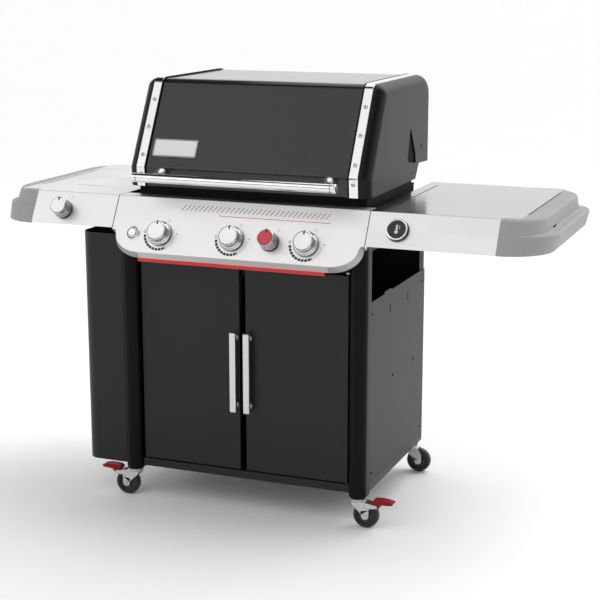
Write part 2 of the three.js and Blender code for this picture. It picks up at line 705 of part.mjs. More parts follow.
function hobBowl() {
  const [x0, x1, y0, y1] = [HOB.x0 - 8, HOB.x1 + 8, HOB.y0 - 8, HOB.y1 + 8];
  const [foot, rim] = [864, TABLE_Z - SHEET - GAP];
  const pan = block(x0, x1, y0, y1, foot, rim);
  const hollow = block(x0 + SHEET, x1 - SHEET, y0 + SHEET, y1 - SHEET, foot + SHEET, rim + 1);
  const head = rod("z", 42, foot + 1, foot + 24, (x0 + x1) / 2, (y0 + y1) / 2, 24);
  return join(cut(pan, hollow), head);
}
add("side_burner_bowl", hobBowl(), brushedSteel);

function hobGrate() {
  const x = (HOB.x0 + HOB.x1) / 2;
  const y = (HOB.y0 + HOB.y1) / 2;
  const [foot, top] = [864 + SHEET + GAP, 910];
  const bars = [-60, 0, 60].map((d) => block(x + d - 4, x + d + 4, y - 130, y + 130, top - 9, top));
  const ties = [-126, 126].map((d) => block(x - 110, x + 110, y + d - 4, y + d + 4, top - 9, top));
  const legs = [[-106, -126], [106, -126], [-106, 126], [106, 126]].map(([a, b]) => {
    return block(x + a - 4, x + a + 4, y + b - 4, y + b + 4, foot, top);
  });
  return join(...ties, ...bars, ...legs);
}
add("side_burner_grate", hobGrate(), castIron);

// Hollow plastic end cap: a low step all round below a smaller raised top.
const CAP_STEP_Z = 885;
const CAP_REAR_R = 105;
function capRing(z, reach, near, nearR, far, farR) {
  const inner = TABLE_END_X + GAP;
  return {
    z,
    points: [
      [inner, near],
      ...arc(reach - nearR, near + nearR, nearR, nearR, 270, 360, 7),
      ...arc(reach - farR, far - farR, farR, farR, 0, 90, 7),
      [inner, far],
    ],
  };
}
function endCap(topEnd) {
  const step = faceY(CAP_STEP_Z);
  // Reach, front edge, front radius, rear edge and rear radius of one ring, all moved in by d.
  const ring = (d, z, reach, near, nearR, far, farR) => {
    return capRing(z, reach - d, near + d, nearR - d, far - d, farR - d);
  };
  const skin = (d, foot, top) => loft([
    ring(d, foot, HALF_WIDTH - 12, faceY(foot), 131, TABLE_REAR_Y, 90),
    ring(d, CAP_STEP_Z - d, HALF_WIDTH, step, 138, TABLE_REAR_Y, 90),
    ring(d, CAP_STEP_Z - d + 0.5, HALF_WIDTH - 31, step + 1, 110, TABLE_REAR_Y - 3, 100),
    ring(d, top, HALF_WIDTH - 37, faceY(top), 104, TABLE_REAR_Y - 3, CAP_REAR_R),
  ]);
  const outer = skin(0, FACE_FOOT_Z, TABLE_Z);
  const inner = skin(CAST, FACE_FOOT_Z - 1, TABLE_Z - CAST);
  const mouth = block(TABLE_END_X - 1, topEnd + GAP, CAP_LEDGE_Y - GAP, TABLE_REAR_Y + 1, 830, TABLE_Z + 1);
  return cut(outer, inner, mouth);
}
add("end_cap_right", endCap(TOP_END_X), greyPlastic);
add("end_cap_left", mirrored(endCap(LEFT_TOP_END_X)), greyPlastic);

const puck = turned([[0, GAP], [33, GAP], [33, 11], [30, 14], [0, 14]]);
add("round_display", puck, blackPlastic, group(434, -53, 0, front));

// ---- lid ----
const lid = group(CART_X, 0, 0);
const LID_SKIRT_Z = 957; // lower edge
const LID_BEND_Z = 1015; // where the front starts to lean back
const LID_TAB_Z = 998; // lower edge of the rear
const ROLL = 34; // rounding between a side casting's flat and its rim
const LID_SHEET = 3;

// Points of an arc that touches both edges of a corner; the corner is the middle one of three points.
function rounded([p, q, r], radius, steps = 4) {
  const [a, b, c] = [p, q, r].map(([y, z]) => new THREE.Vector2(y, z));
  const u = a.sub(b).normalize();
  const v = c.sub(b).normalize();
  const half = u.angleTo(v) / 2;
  const middle = u.clone().add(v).normalize();
  const centre = b.clone().addScaledVector(middle, radius / Math.sin(half));
  const start = b.clone().addScaledVector(u, radius / Math.tan(half)).sub(centre);
  const turn = Math.sign(u.cross(v)) * (Math.PI - 2 * half);
  const points = [];
  for (let i = 0; i <= steps; i++) {
    const at = start.clone().rotateAround(new THREE.Vector2(), (-turn * i) / steps).add(centre);
    points.push([at.x, at.y]);
  }
  return points;
}
// Side view of the lid as [y, z], from the front skirt over the top to the rear tab.
const FRONT_FOOT = [-238, LID_SKIRT_Z];
const FRONT_BEND = [-242, LID_BEND_Z];
const FRONT_TOP = [-107, LID_TOP_Z];
const REAR_TOP = [LID_REAR_Y, LID_TOP_Z];
const REAR_FOOT = [LID_REAR_Y, LID_TAB_Z];
const lidArch = [
  FRONT_FOOT,
  FRONT_BEND,
  ...rounded([FRONT_BEND, FRONT_TOP, REAR_TOP], 30),
  ...rounded([FRONT_TOP, REAR_TOP, REAR_FOOT], 62, 5),
  REAR_FOOT,
];
const TAB_IN = [232, LID_TAB_Z + 4];
const SIDE_FOOT = [198, LID_SKIRT_Z];

// The closed outline moved inward by d along the bisector of each corner.
function inset(points, d) {
  const at = points.map(([y, z]) => new THREE.Vector2(y, z));
  return at.map((point, i) => {
    const before = point.clone().sub(at[(i + at.length - 1) % at.length]).normalize();
    const after = at[(i + 1) % at.length].clone().sub(point).normalize();
    const mitre = new THREE.Vector2(before.y + after.y, -before.x - after.x).normalize();
    const moved = point.clone().addScaledVector(mitre, d / mitre.dot(new THREE.Vector2(after.y, -after.x)));
    return [moved.x, moved.y];
  });
}
function lidShell() {
  return prismX(sheetShape(lidArch, -LID_SHEET), -LID_SEAM + GAP, LID_SEAM - GAP);
}
// Rings of a side casting, drawn with the ring's height along X. They run on below the lid, where they are cut.
const CAST_LOW_Z = LID_SKIRT_Z - ROLL - 3 * CAST;
function castingSkin(wall, seam) {
  const closed = [[FRONT_FOOT[0] + 3, CAST_LOW_Z], ...lidArch.slice(1, -1), [LID_REAR_Y, CAST_LOW_Z]];
  const ring = (x, d) => ({ z: x, points: inset(closed, d).reverse() });
  return loft([
    ring(seam, wall),
    ring(LID_HALF - ROLL - wall, wall),
    ring(LID_HALF - ROLL * 0.5 - wall, wall + ROLL * 0.134),
    ring(LID_HALF - ROLL * 0.134 - wall, wall + ROLL * 0.5),
    ring(LID_HALF - wall, wall + ROLL),
  ]);
}
function lidEnd(side) {
  const turn = new THREE.Matrix4().set(0, 0, 1, 0, 1, 0, 0, 0, 0, 1, 0, 0, 0, 0, 0, 1);
  const outer = castingSkin(0, LID_SEAM).applyMatrix4(turn);
  const inner = castingSkin(CAST, LID_SEAM - 1).applyMatrix4(turn);
  const low = CAST_LOW_Z - 1;
  const under = outline([
    [FRONT_FOOT[0] - 9, low],
    [LID_REAR_Y + 9, low],
    [LID_REAR_Y + 9, LID_TAB_Z],
    [LID_REAR_Y - ROLL, LID_TAB_Z],
    TAB_IN,
    SIDE_FOOT,
    [FRONT_FOOT[0] - 9, LID_SKIRT_Z],
  ]);
  const below = prismX(under, LID_SEAM - 2, LID_HALF + 1);
  const bore = rod("x", PIN_R + 0.4, LID_HALF - CAST - 1, LID_HALF + 1, PIVOT_Y, PIVOT_Z, 12);
  const vent = outline([[143, 1121], [116, 1028], [126, 1016], [200, 1006], [194, 1036]]);
  const wedge = prismX(vent, LID_HALF - CAST - 1, LID_HALF + 1);
  const made = cut(outer, inner, below, bore, wedge);
  return side > 0 ? made : mirrored(made);
}
add("lid_shell", lidShell(), enamel, lid);
add("lid_end_right", lidEnd(1), enamel, lid);
add("lid_end_left", lidEnd(-1), enamel, lid);

// Tube handle on two standoffs.
const HANDLE_Y = -331;
const HANDLE_Z = 996;
function lidHandle() {
  const tube = rod("x", 13.5, -314, 314, HANDLE_Y, HANDLE_Z, 20);
  const feet = [-262, 262].map((x) => {
    const foot = new THREE.CylinderGeometry(10, 10, 87, 12).translate(0, 43.5, 0);
    foot.rotateX(THREE.MathUtils.degToRad(12));
    return foot.translate(x, HANDLE_Y, HANDLE_Z);
  });
  return join(tube, ...feet);
}
add("lid_handle", lidHandle(), chrome, lid);

// ---- casters ----
const FORK_TOP_Z = 83;
const FORK_HALF = 17; // outside of a fork cheek
const CHEEK = 2.5;
const AXLE_R = 4;
const WHEEL_SIDES = 28;
// Cheek and arm in X and Z, with X along the trail.
function forkGeometry(braked) {
  const side = outline([
    [-17, FORK_TOP_Z],
    [-17, FORK_TOP_Z - 8],
    [CASTER_TRAIL - 9, WHEEL_R - 3],
    ...arc(CASTER_TRAIL, WHEEL_R, 9, 9, 200, 340, 4),
    [30, 68],
    ...(braked ? [[64, 63], [67, 73]] : []),
    [32, FORK_TOP_Z],
  ]);
  const cheeks = [-1, 1].map((sign) => prismY(side, ...span(sign, FORK_HALF - CHEEK, FORK_HALF)));
  const bridge = block(-17, 30, -FORK_HALF, FORK_HALF, FORK_TOP_Z - 3.5, FORK_TOP_Z);
  const washer = rod("z", 14, FORK_TOP_Z - 1, POST_FOOT_Z - GAP, 0, 0, 20);
  const stem = rod("z", STEM_R, FORK_TOP_Z - 1, POST_FOOT_Z + 22, 0, 0, 12);
  const axle = rod("y", AXLE_R, -FORK_HALF - 2, FORK_HALF + 2, CASTER_TRAIL, WHEEL_R, 12);
  return join(...cheeks, bridge, washer, stem, axle);
}
// Turned so that a flat facet, and not an edge, meets the ground.
function wheelGeometry() {
  const half = WHEEL_WIDTH / 2;
  const bore = AXLE_R + GAP;
  const tread = WHEEL_R / Math.cos(Math.PI / WHEEL_SIDES);
  const wheel = turned([
    [bore, -half],
    [13, -half],
    [20, -half + 4],
    [29, -half],
    [tread - 4, -half],
    [tread, -half + 4],
    [tread, half - 4],
    [tread - 4, half],
    [29, half],
    [20, half - 4],
    [13, half],
    [bore, half],
    [bore, -half],
  ], WHEEL_SIDES);
  return wheel.rotateX(Math.PI / 2).rotateY(Math.PI / WHEEL_SIDES);
}
// Foot lever outboard of the wheel, on a cross pin between the fork's arms.
const BRAKE_X = 60;
const BRAKE_Z = 70;
function brakeLever() {
  const side = outline([
    [-12, 7],
    [-14, 15],
    [6, 20],
    [34, 19],
    [51, 14],
    [46, 9],
    [14, 7],
    [6, -4],
    [-4, -4],
  ]);
  return prismY(side, -13, 13);
}
const corners = [
  ["front_left", -1, CASTER_FRONT_Y, true],
  ["front_right", 1, CASTER_FRONT_Y, true],
  ["rear_left", -1, CASTER_REAR_Y, false],
  ["rear_right", 1, CASTER_REAR_Y, false],
];
for (const [where, side, y, braked] of corners) {
  const caster = group(side * CASTER_X, y, 0, cart);
  caster.rotation.z = side > 0 ? 0 : Math.PI;
  add("caster_fork_" + where, forkGeometry(braked), zinc, caster);
  add("wheel_" + where, wheelGeometry(), rubber, group(CASTER_TRAIL, 0, WHEEL_R, caster));
  if (braked) add("brake_lever_" + where, brakeLever(), redPlastic, group(BRAKE_X, 0, BRAKE_Z, caster));
}

export default grill;
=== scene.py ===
"""Looks of the gas barbecue grill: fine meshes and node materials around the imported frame.

Builders work in millimetres in the frame's axes (X right, Y back, Z up); add_piece turns them into metres.
"""
import json
import math

import bmesh
import bpy
from mathutils import Matrix, Vector


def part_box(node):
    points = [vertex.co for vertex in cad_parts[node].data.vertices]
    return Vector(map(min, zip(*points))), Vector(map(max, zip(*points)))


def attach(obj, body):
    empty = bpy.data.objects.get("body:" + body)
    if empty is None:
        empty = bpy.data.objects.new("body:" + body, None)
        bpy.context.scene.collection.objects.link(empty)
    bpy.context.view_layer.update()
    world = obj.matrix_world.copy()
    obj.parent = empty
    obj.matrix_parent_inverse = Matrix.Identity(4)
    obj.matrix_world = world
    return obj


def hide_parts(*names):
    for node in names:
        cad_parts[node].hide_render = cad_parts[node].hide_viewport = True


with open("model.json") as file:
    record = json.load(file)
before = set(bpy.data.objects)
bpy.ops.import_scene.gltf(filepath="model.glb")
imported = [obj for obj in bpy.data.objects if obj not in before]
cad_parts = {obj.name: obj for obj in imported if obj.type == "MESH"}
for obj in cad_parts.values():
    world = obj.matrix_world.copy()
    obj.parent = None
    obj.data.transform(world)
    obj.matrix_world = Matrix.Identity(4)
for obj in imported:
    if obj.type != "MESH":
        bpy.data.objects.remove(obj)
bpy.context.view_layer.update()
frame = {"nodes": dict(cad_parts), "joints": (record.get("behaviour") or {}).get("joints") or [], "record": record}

MM = 0.001
HAIR = 0.3  # air between neighbouring pieces
SHARP_ANGLE = 38  # degrees between faces that still shade as one
WELD = 1e-4  # vertices nearer than this are one
JOINTS = {joint["name"]: joint for joint in frame["joints"]}
BODIES = {node: body for body, nodes in frame["record"]["behaviour"]["bodies"].items() for node in nodes}
WORD = {-1: "left", 1: "right"}


def box(*nodes):
    """Lowest and highest corner of some CAD nodes together, in millimetres."""
    corners = [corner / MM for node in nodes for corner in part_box(node)]
    low = Vector([min(c[i] for c in corners) for i in range(3)])
    high = Vector([max(c[i] for c in corners) for i in range(3)])
    return low, high


def joint_point(name):
    return Vector(JOINTS[name]["pos_m"]) / MM


def joint_axis(name):
    return Vector(JOINTS[name]["axis"]).normalized()


# ---- places that several pieces share ----
TABLE_LOW, TABLE_HIGH = box("right_table")
LEFT_LOW = box("left_table")[0]
TABLE_Z = TABLE_HIGH.z
FACE_FOOT_Z = TABLE_LOW.z
BOX_LOW, BOX_HIGH = box("cookbox")
CART_X = (BOX_LOW.x + BOX_HIGH.x) / 2
LID_HIGH = box("lid_shell", "lid_end_left", "lid_end_right")[1]

FACE_NORMAL = joint_axis("burner_knob_1_turn")
LEAN = math.atan2(FACE_NORMAL.z, -FACE_NORMAL.y)


def slope_frame(origin, up, normal):
    """Frame on a slope: x along X, y up the slope, z outward."""
    return Matrix.Translation(origin) @ Matrix((Vector((1, 0, 0)), up, normal)).transposed().to_4x4()


def face_matrix():
    """Frame of the sloping front, which starts at its top edge."""
    up = Vector((0, math.sin(LEAN), math.cos(LEAN)))
    point = joint_point("burner_knob_1_turn")
    origin = point + up * ((TABLE_Z - point.z) / up.z)
    return slope_frame((0, origin.y, origin.z), up, FACE_NORMAL)


FACE = face_matrix()
FACE_TOP_Y = FACE.translation.y


def face_y(z):
    """Y of the sloping front at a height."""
    return FACE_TOP_Y - (TABLE_Z - z) * math.tan(LEAN)


def on_face(x, s, out=0.0):
    """Place on the sloping front: s is measured down from the top edge."""
    return FACE @ Matrix.Translation((x, -s, out))


def knob_place(joint):
    """A knob's own frame: z along its axis, y up the slope."""
    x, y, z = joint_point(joint)
    return Matrix.Translation((x, y, z)) @ FACE.to_3x3().to_4x4()


# ---- outlines ----
def fillet(points, radii, steps=6, closed=False):
    """A polyline with each corner turned into an arc; radii is one number or one for each point."""
    if not isinstance(radii, (list, tuple)):
        radii = [radii] * len(points)
    count = len(points)
    rounded = []
    for i, (point, radius) in enumerate(zip(points, radii)):
        here = Vector(point)
        if radius <= 0 or (not closed and i in (0, count - 1)):
            rounded.append(tuple(here))
            continue
        back = (Vector(points[i - 1]) - here).normalized()
        ahead = (Vector(points[(i + 1) % count]) - here).normalized()
        half = back.angle(ahead) / 2
        centre = here + (back + ahead).normalized() * (radius / math.sin(half))
        start = here + back * (radius / math.tan(half)) - centre
        turn = math.pi - 2 * half
        side = 1 if back.cross(ahead) < 0 else -1
        for step in range(steps + 1):
            angle = side * turn * step / steps
            cos, sin = math.cos(angle), math.sin(angle)
            x = centre.x + start.x * cos - start.y * sin
            y = centre.y + start.x * sin + start.y * cos
            rounded.append((x, y))
    return rounded


def offset(points, distance, closed=False):
    """A polyline moved to its right by a distance, with mitred corners."""
    count = len(points)
    at = [Vector(point) for point in points]
    normals = []
    for i in range(count if closed else count - 1):
        run = (at[(i + 1) % count] - at[i]).normalized()
        normals.append(Vector((run.y, -run.x)))
    moved = []
    for i in range(count):
        if closed:
            before, after = normals[i - 1], normals[i]
        else:
            before, after = normals[max(i - 1, 0)], normals[min(i, count - 2)]
        mitre = (before + after).normalized()
        moved.append(tuple(at[i] + mitre * (distance / mitre.dot(after))))
    return moved


def sheet(path, thickness):
    """Closed outline of a bent sheet, with its thickness on the right of the path."""
    return list(path) + list(reversed(offset(path, thickness)))


def rectangle(x0, x1, y0, y1):
    return [(x0, y0), (x1, y0), (x1, y1), (x0, y1)]


def capsule(x, y, half_length, radius):
    """Outline of a round-ended bar along x."""
    corners = rectangle(x - half_length, x + half_length, y - radius, y + radius)
    return fillet(corners, radius * 0.999, 8, closed=True)


# ---- mesh builders ----
def lift(axis):
    """How an outline's two numbers and its height become X, Y and Z."""
    return {
        "x": lambda a, b, h: Vector((h, a, b)),
        "y": lambda a, b, h: Vector((a, h, b)),
        "z": lambda a, b, h: Vector((a, b, h)),
    }[axis]


def skin(bm, rows, caps=True, materials=None):
    """Faces between rings of equally many points; materials gives each band's material index."""
    made = [[bm.verts.new(point) for point in row] for row in rows]
    count = len(made[0])
    for index, (low, high) in enumerate(zip(made, made[1:])):
        for i in range(count):
            j = (i + 1) % count
            face = bm.faces.new((low[i], low[j], high[j], high[i]))
            face.material_index = materials[index] if materials else 0
    if caps:
        bm.faces.new(list(reversed(made[0])))
        bm.faces.new(made[-1])


def prism(bm, outline, low, high, axis="z"):
    to_3d = lift(axis)
    skin(bm, [[to_3d(a, b, height) for a, b in outline] for height in (low, high)])


def stack(bm, outline, section, axis="z"):
    """Copies of an outline, drawn in and raised by a section of (inset, height) pairs."""
    to_3d = lift(axis)
    rows = []
    for inset, height in section:
        rows.append([to_3d(a, b, height) for a, b in offset(outline, -inset, closed=True)])
    skin(bm, rows)


def pan(bm, corners, radii, section, axis="z", steps=5, least=0.4):
    """Rounded outlines stacked by (inset, height) pairs; radii is one number or one for each corner."""
    to_3d = lift(axis)
    radii = radii if isinstance(radii, (list, tuple)) else [radii] * len(corners)
    rows = []
    for inset, height in section:
        kept = [max(radius - inset, least) for radius in radii]
        outline = fillet(offset(corners, -inset, closed=True), kept, steps, closed=True)
        rows.append([to_3d(a, b, height) for a, b in outline])
    skin(bm, rows)


def slab(bm, low, high, soft=1.0):
    """A block with rounded edges."""
    (x0, y0, z0), (x1, y1, z1) = low, high
    soft = min(soft, (x1 - x0) / 2.2, (y1 - y0) / 2.2, (z1 - z0) / 2.2)
    rise = [(soft * (1 - math.sin(a)), soft * (1 - math.cos(a))) for a in (0, math.pi / 4, math.pi / 2)]
    section = [(inset, z0 + up) for inset, up in rise] + [(inset, z1 - up) for inset, up in reversed(rise)]
    pan(bm, rectangle(x0, x1, y0, y1), soft, section, steps=2)


def lathe(bm, profile, place=Matrix.Identity(4), steps=48, materials=None):
    """Turns a (radius, height) profile about z; it ends on the axis or where it began."""
    rows = []
    for radius, height in profile:
        angles = [2 * math.pi * i / steps for i in range(steps)]
        rows.append([place @ Vector((radius * math.cos(a), radius * math.sin(a), height)) for a in angles])
    skin(bm, rows, caps=False, materials=materials)
    bmesh.ops.remove_doubles(bm, verts=bm.verts, dist=WELD)


def turned(bm, profile, place=Matrix.Identity(4), steps=64):
    """A lathed shape whose profile gives a material after each radius and height."""
    lathe(bm, [point[:2] for point in profile], place, steps, [point[2] for point in profile])


def rod(bm, radius, start, end, sides=20, soft=0.8):
    """A round bar between two points, with softened ends."""
    run = Vector(end) - Vector(start)
    place = Matrix.Translation(start) @ run.to_track_quat("Z", "Y").to_matrix().to_4x4()
    long = run.length
    side = [(radius - soft, 0), (radius, soft), (radius, long - soft), (radius - soft, long)]
    lathe(bm, [(0, 0), *side, (0, long)], place, sides)


def strip(bm, path, x0, x1, thickness, soft=0.5):
    """A flat band of some thickness that lies outside a (y, z) path, with softened long edges."""
    section = [(x0, 0), (x0, thickness - soft), (x0 + soft, thickness)]
    section += [(x1 - soft, thickness), (x1, thickness - soft), (x1, 0)]
    layers = {out: offset(path, -out) for _, out in section}
    rows = [[Vector((x, *layers[out][i])) for x, out in section] for i in range(len(path))]
    skin(bm, rows)


def carve(bm, *tools, operation="DIFFERENCE"):
    """Boolean of a mesh with each tool mesh in turn."""
    for tool in tools:
        objects = []
        for source in (bm, tool):
            bmesh.ops.recalc_face_normals(source, faces=source.faces)
            mesh = bpy.data.meshes.new("carving")
            source.to_mesh(mesh)
            objects.append(linked("carving", mesh))
        target, cutter = objects
        modifier = target.modifiers.new("cut", "BOOLEAN")
        modifier.operation = operation
        modifier.solver = "EXACT"
        modifier.object = cutter
        depsgraph = bpy.context.evaluated_depsgraph_get()
        result = bpy.data.meshes.new_from_object(target.evaluated_get(depsgraph))
        bm.clear()
        bm.from_mesh(result)
        meshes = [made.data for made in objects] + [result]
        for made in objects:
            bpy.data.objects.remove(made)
        for mesh in meshes:
            bpy.data.meshes.remove(mesh)
        tool.free()


def prism_mesh(outline, low, high, axis="z"):
    """A prism in a mesh of its own."""
    bm = bmesh.new()
    prism(bm, outline, low, high, axis)
    return bm


def slab_mesh(low, high, soft=1.0):
    """A block with rounded edges in a mesh of its own."""
    bm = bmesh.new()
    slab(bm, low, high, soft)
    return bm


def merge_into(bm, part, material=None):
    """Adds a part's faces to a mesh, all with one material index if it is given."""
    if material is not None:
        for face in part.faces:
            face.material_index = material
    mesh = mesh_data("part", part)
    bm.from_mesh(mesh)
    bpy.data.meshes.remove(mesh)


def soften(bm, width, segments=2, angle=35):
    """Rounds every edge that is sharper than an angle."""
    limit = math.radians(angle)
    sharp = [edge for edge in bm.edges if len(edge.link_faces) == 2 and edge.calc_face_angle(0) > limit]
    bmesh.ops.bevel(
        bm, geom=sharp, offset=width, offset_type="OFFSET", segments=segments,
        profile=0.5, affect="EDGES", clamp_overlap=True,
    )


def to_side(bm, side, x=0.0):
    """Reflects what was made on the right in the plane at X = x, when its side is the left."""
    if side < 0:
        bm.transform(Matrix.Translation((2 * x, 0, 0)) @ Matrix.Scale(-1, 4, (1, 0, 0)))
        bmesh.ops.reverse_faces(bm, faces=bm.faces)


def spot(at, quarters, axis):
    """A place at a point, turned by some quarter turns about one axis."""
    return Matrix.Translation(at) @ Matrix.Rotation(quarters * math.pi / 2, 4, axis)


def linked(name, data):
    """A new object in the scene."""
    made = bpy.data.objects.new(name, data)
    bpy.context.scene.collection.objects.link(made)
    return made


def mesh_data(name, bm):
    """Turns a working mesh into mesh data, and frees it."""
    mesh = bpy.data.meshes.new(name)
    bm.to_mesh(mesh)
    bm.free()
    return mesh


def add_piece(name, bm, body, materials, replaced=()):
    """Makes an object of a millimetre mesh, lets it ride on a body and hides the CAD nodes that it replaces."""
    bmesh.ops.remove_doubles(bm, verts=bm.verts, dist=WELD)
    bmesh.ops.dissolve_degenerate(bm, edges=bm.edges, dist=1e-5)
    bmesh.ops.recalc_face_normals(bm, faces=bm.faces)
    bm.transform(Matrix.Scale(MM, 4))
    mesh = mesh_data(name, bm)
    for polygon in mesh.polygons:
        polygon.use_smooth = True
    mesh.set_sharp_from_angle(angle=math.radians(SHARP_ANGLE))
    for made in materials:
        mesh.materials.append(made)
    piece = linked(name, mesh)
    weighted = piece.modifiers.new("even shading", "WEIGHTED_NORMAL")
    weighted.keep_sharp = True
    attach(piece, body)
    if replaced:
        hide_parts(*replaced)


def stand_in(node, bm, *materials):
    """A finer piece in place of a CAD node, on the node's body."""
    add_piece(node + "_fine", bm, BODIES[node], materials, [node])


def refine(node, width, made):
    """A copy of a CAD node with its flat faces joined and its edges rounded."""
    bm = bmesh.new()
    bm.from_mesh(frame["nodes"][node].data)
    bm.transform(Matrix.Scale(1 / MM, 4))
    bmesh.ops.remove_doubles(bm, verts=bm.verts, dist=1e-3)
    bmesh.ops.dissolve_limit(bm, angle_limit=math.radians(0.5), verts=bm.verts, edges=bm.edges)
    soften(bm, width)
    stand_in(node, bm, made)


# ---- materials ----
NOISE_LOW, NOISE_HIGH = 0.3, 0.7  # most of a noise's values lie between these


def triple(value):
    """Three equal numbers, or the three that are given."""
    return value if isinstance(value, tuple) else (value, value, value)


def feed(tree, node, inputs):
    """Links each input that is given a socket, and sets the others."""
    for name, value in inputs.items():
        if isinstance(value, bpy.types.NodeSocket):
            tree.links.new(value, node.inputs[name])
        else:
            node.inputs[name].default_value = value


def add_node(tree, kind, inputs, **settings):
    """A new node with its settings made and its inputs fed."""
    made = tree.nodes.new("ShaderNode" + kind)
    for name, value in settings.items():
        setattr(made, name, value)
    feed(tree, made, inputs)
    return made


def texture(tree, scale, detail=3.0):
    """Noise over the piece's own coordinates, in cells per metre along X, Y and Z."""
    place = add_node(tree, "TexCoord", {}).outputs["Object"]
    mapped = add_node(tree, "Mapping", {"Vector": place, "Scale": triple(scale)}).outputs["Vector"]
    noise = {"Vector": mapped, "Scale": 1.0, "Detail": detail, "Roughness": 0.5}
    return add_node(tree, "TexNoise", noise).outputs["Fac"]


def map_range(tree, value, start, end, low, high, **settings):
    """Maps the numbers from start to end onto those from low to high."""
    ranges = {"From Min": start, "From Max": end, "To Min": low, "To Max": high}
    return add_node(tree, "MapRange", {"Value": value, **ranges}, **settings).outputs["Result"]


def finish(
    name, color, roughness, metallic=0.0, tone=0.08, tone_scale=6, rough_spread=0.05,
    grain=900, bump=0.1, relief=0.00005, specular=0.5, sockets=None,
):
    """A material whose colour, roughness and relief vary over the surface; sockets sets even values."""
    made = bpy.data.materials.new(name)
    made.use_nodes = True
    tree = made.node_tree
    ramp = add_node(tree, "ValToRGB", {"Fac": texture(tree, tone_scale)})
    shades = ((NOISE_LOW, 1 - tone), (NOISE_HIGH, 1 + tone))
    for element, (position, share) in zip(ramp.color_ramp.elements, shades):
        element.position = position
        element.color = (*[min(c * share, 1) for c in triple(color)], 1)
    fine = texture(tree, grain, detail=2.0)
    low, high = max(roughness - rough_spread, 0.02), roughness + rough_spread
    bumps = add_node(tree, "Bump", {"Height": fine, "Strength": bump, "Distance": relief})
    inputs = {
        "Metallic": metallic,
        "Specular IOR Level": specular,
        "Base Color": ramp.outputs["Color"],
        "Roughness": map_range(tree, fine, NOISE_LOW, NOISE_HIGH, low, high),
        "Normal": bumps.outputs["Normal"],
    }
    feed(tree, tree.nodes["Principled BSDF"], {**inputs, **(sockets or {})})
    return made


def brushed(name, color, roughness, along=(4, 900, 900), tone=0.04, anisotropy=0.4):
    """Brushed metal with its scratches along one axis."""
    return finish(
        name, color, roughness, metallic=1.0, tone=tone, tone_scale=along, rough_spread=0.06,
        grain=along, bump=0.12, relief=0.00003, sockets={"Anisotropic": anisotropy},
    )


ENAMEL = finish(
    "lid_enamel", 0.006, 0.3, tone_scale=3, grain=420, bump=0.16, specular=0.22,
    sockets={"Coat Weight": 0.75, "Coat Roughness": 0.08},
)
CASTING = finish("lid_casting", 0.005, 0.34, tone_scale=4, grain=600, bump=0.25, specular=0.17)
SIDE_PAINT = finish("side_paint", 0.009, 0.4, tone_scale=3, grain=1100, bump=0.2, specular=0.2)
PAINT = finish("cabinet_paint", 0.009, 0.4, tone_scale=3, grain=1100, bump=0.2, specular=0.31)
POST_PAINT = finish("post_paint", 0.003, 0.3, grain=1100, bump=0.2, specular=0.1)
FRAME_PAINT = finish("frame_paint", 0.006, 0.55, grain=1100, bump=0.25, specular=0.3)
BLACK_CASTING = finish("black_casting", 0.002, 0.66, grain=500, bump=0.5, relief=0.0001, specular=0.16)
CAST_IRON = finish("cast_iron", 0.008, 0.6, tone=0.2, grain=350, bump=0.6, relief=0.00015, specular=0.4)
SATIN = brushed("satin_steel", (0.77, 0.76, 0.752), 0.42, tone=0.015, anisotropy=0.25)
# painted shade: darker copies of the satin steel for the panel's downturned lip, and darker still for the lip's
# rounded ends
LIP_PAINTED_SHADE = brushed("lip_steel_painted_shade", (0.66, 0.66, 0.65), 0.42, tone=0.02, anisotropy=0.2)
LIP_END_PAINTED_SHADE = brushed("lip_end_steel_painted_shade", (0.4, 0.4, 0.395), 0.45, tone=0.02, anisotropy=0.2)
TABLE_STEEL = brushed("table_steel", (0.46, 0.46, 0.45), 0.17, tone=0.03, anisotropy=0.3)
BRUSHED = brushed("brushed_steel", (0.44, 0.44, 0.43), 0.3)
BRUSHED_UP = brushed("pull_steel", (0.62, 0.62, 0.61), 0.3, along=(900, 900, 4))
KNOB_FACE = brushed("knob_face", (0.75, 0.75, 0.74), 0.36, along=(300, 900, 300), tone=0.02)
KNOB_SIDE = brushed("knob_side", (0.42, 0.42, 0.41), 0.28, along=(300, 300, 300), tone=0.05)
CHROME = finish("chrome", 0.8, 0.09, metallic=1.0, tone=0.02, rough_spread=0.03, grain=60, bump=0.02)
ZINC = finish("zinc", (0.62, 0.62, 0.61), 0.34, metallic=1.0, tone=0.1, tone_scale=60, grain=400)
CAP_PLASTIC = finish("cap_plastic", (0.3, 0.3, 0.294), 0.5, tone=0.03, grain=1300, bump=0.3)
BLACK_PLASTIC = finish("black_plastic", 0.01, 0.35)
GLOSS_BLACK = finish("display_glass", 0.004, 0.06, rough_spread=0.01, grain=40, bump=0.01)
GASKET = finish("gasket", 0.002, 0.7, specular=0.1)
RED_INDEX = finish("index_red", (0.2, 0.008, 0.015), 0.4)
RED_FACE = finish("knob_red", (0.56, 0.045, 0.06), 0.4, tone=0.04, grain=700)
RED_STRIP = finish("accent_red", (0.58, 0.012, 0.01), 0.4, tone=0.03)
BRAKE_RED = finish("brake_red", (0.24, 0.003, 0.007), 0.5, grain=500, bump=0.15, specular=0.2)
TYRE = finish("tyre_rubber", 0.012, 0.6, tone=0.2, tone_scale=40, grain=500, bump=0.4)
HUB = finish("wheel_hub", 0.02, 0.4, grain=600)
INK = finish("mark_black", 0.006, 0.5)
INK_GREY = finish("mark_grey", 0.24, 0.5)
SIGN_PALE = finish("sign_pale", 0.62, 0.5)
INK_RED = finish("mark_red", (0.6, 0.07, 0.09), 0.5)
BADGE_FACE = finish("badge_face", 0.74, 0.4, tone=0.02)
BADGE_RIM = finish("badge_rim", 0.3, 0.25, metallic=1.0, tone=0.04)
STEEL_DARK = brushed("burner_steel", (0.32, 0.3, 0.28), 0.4)


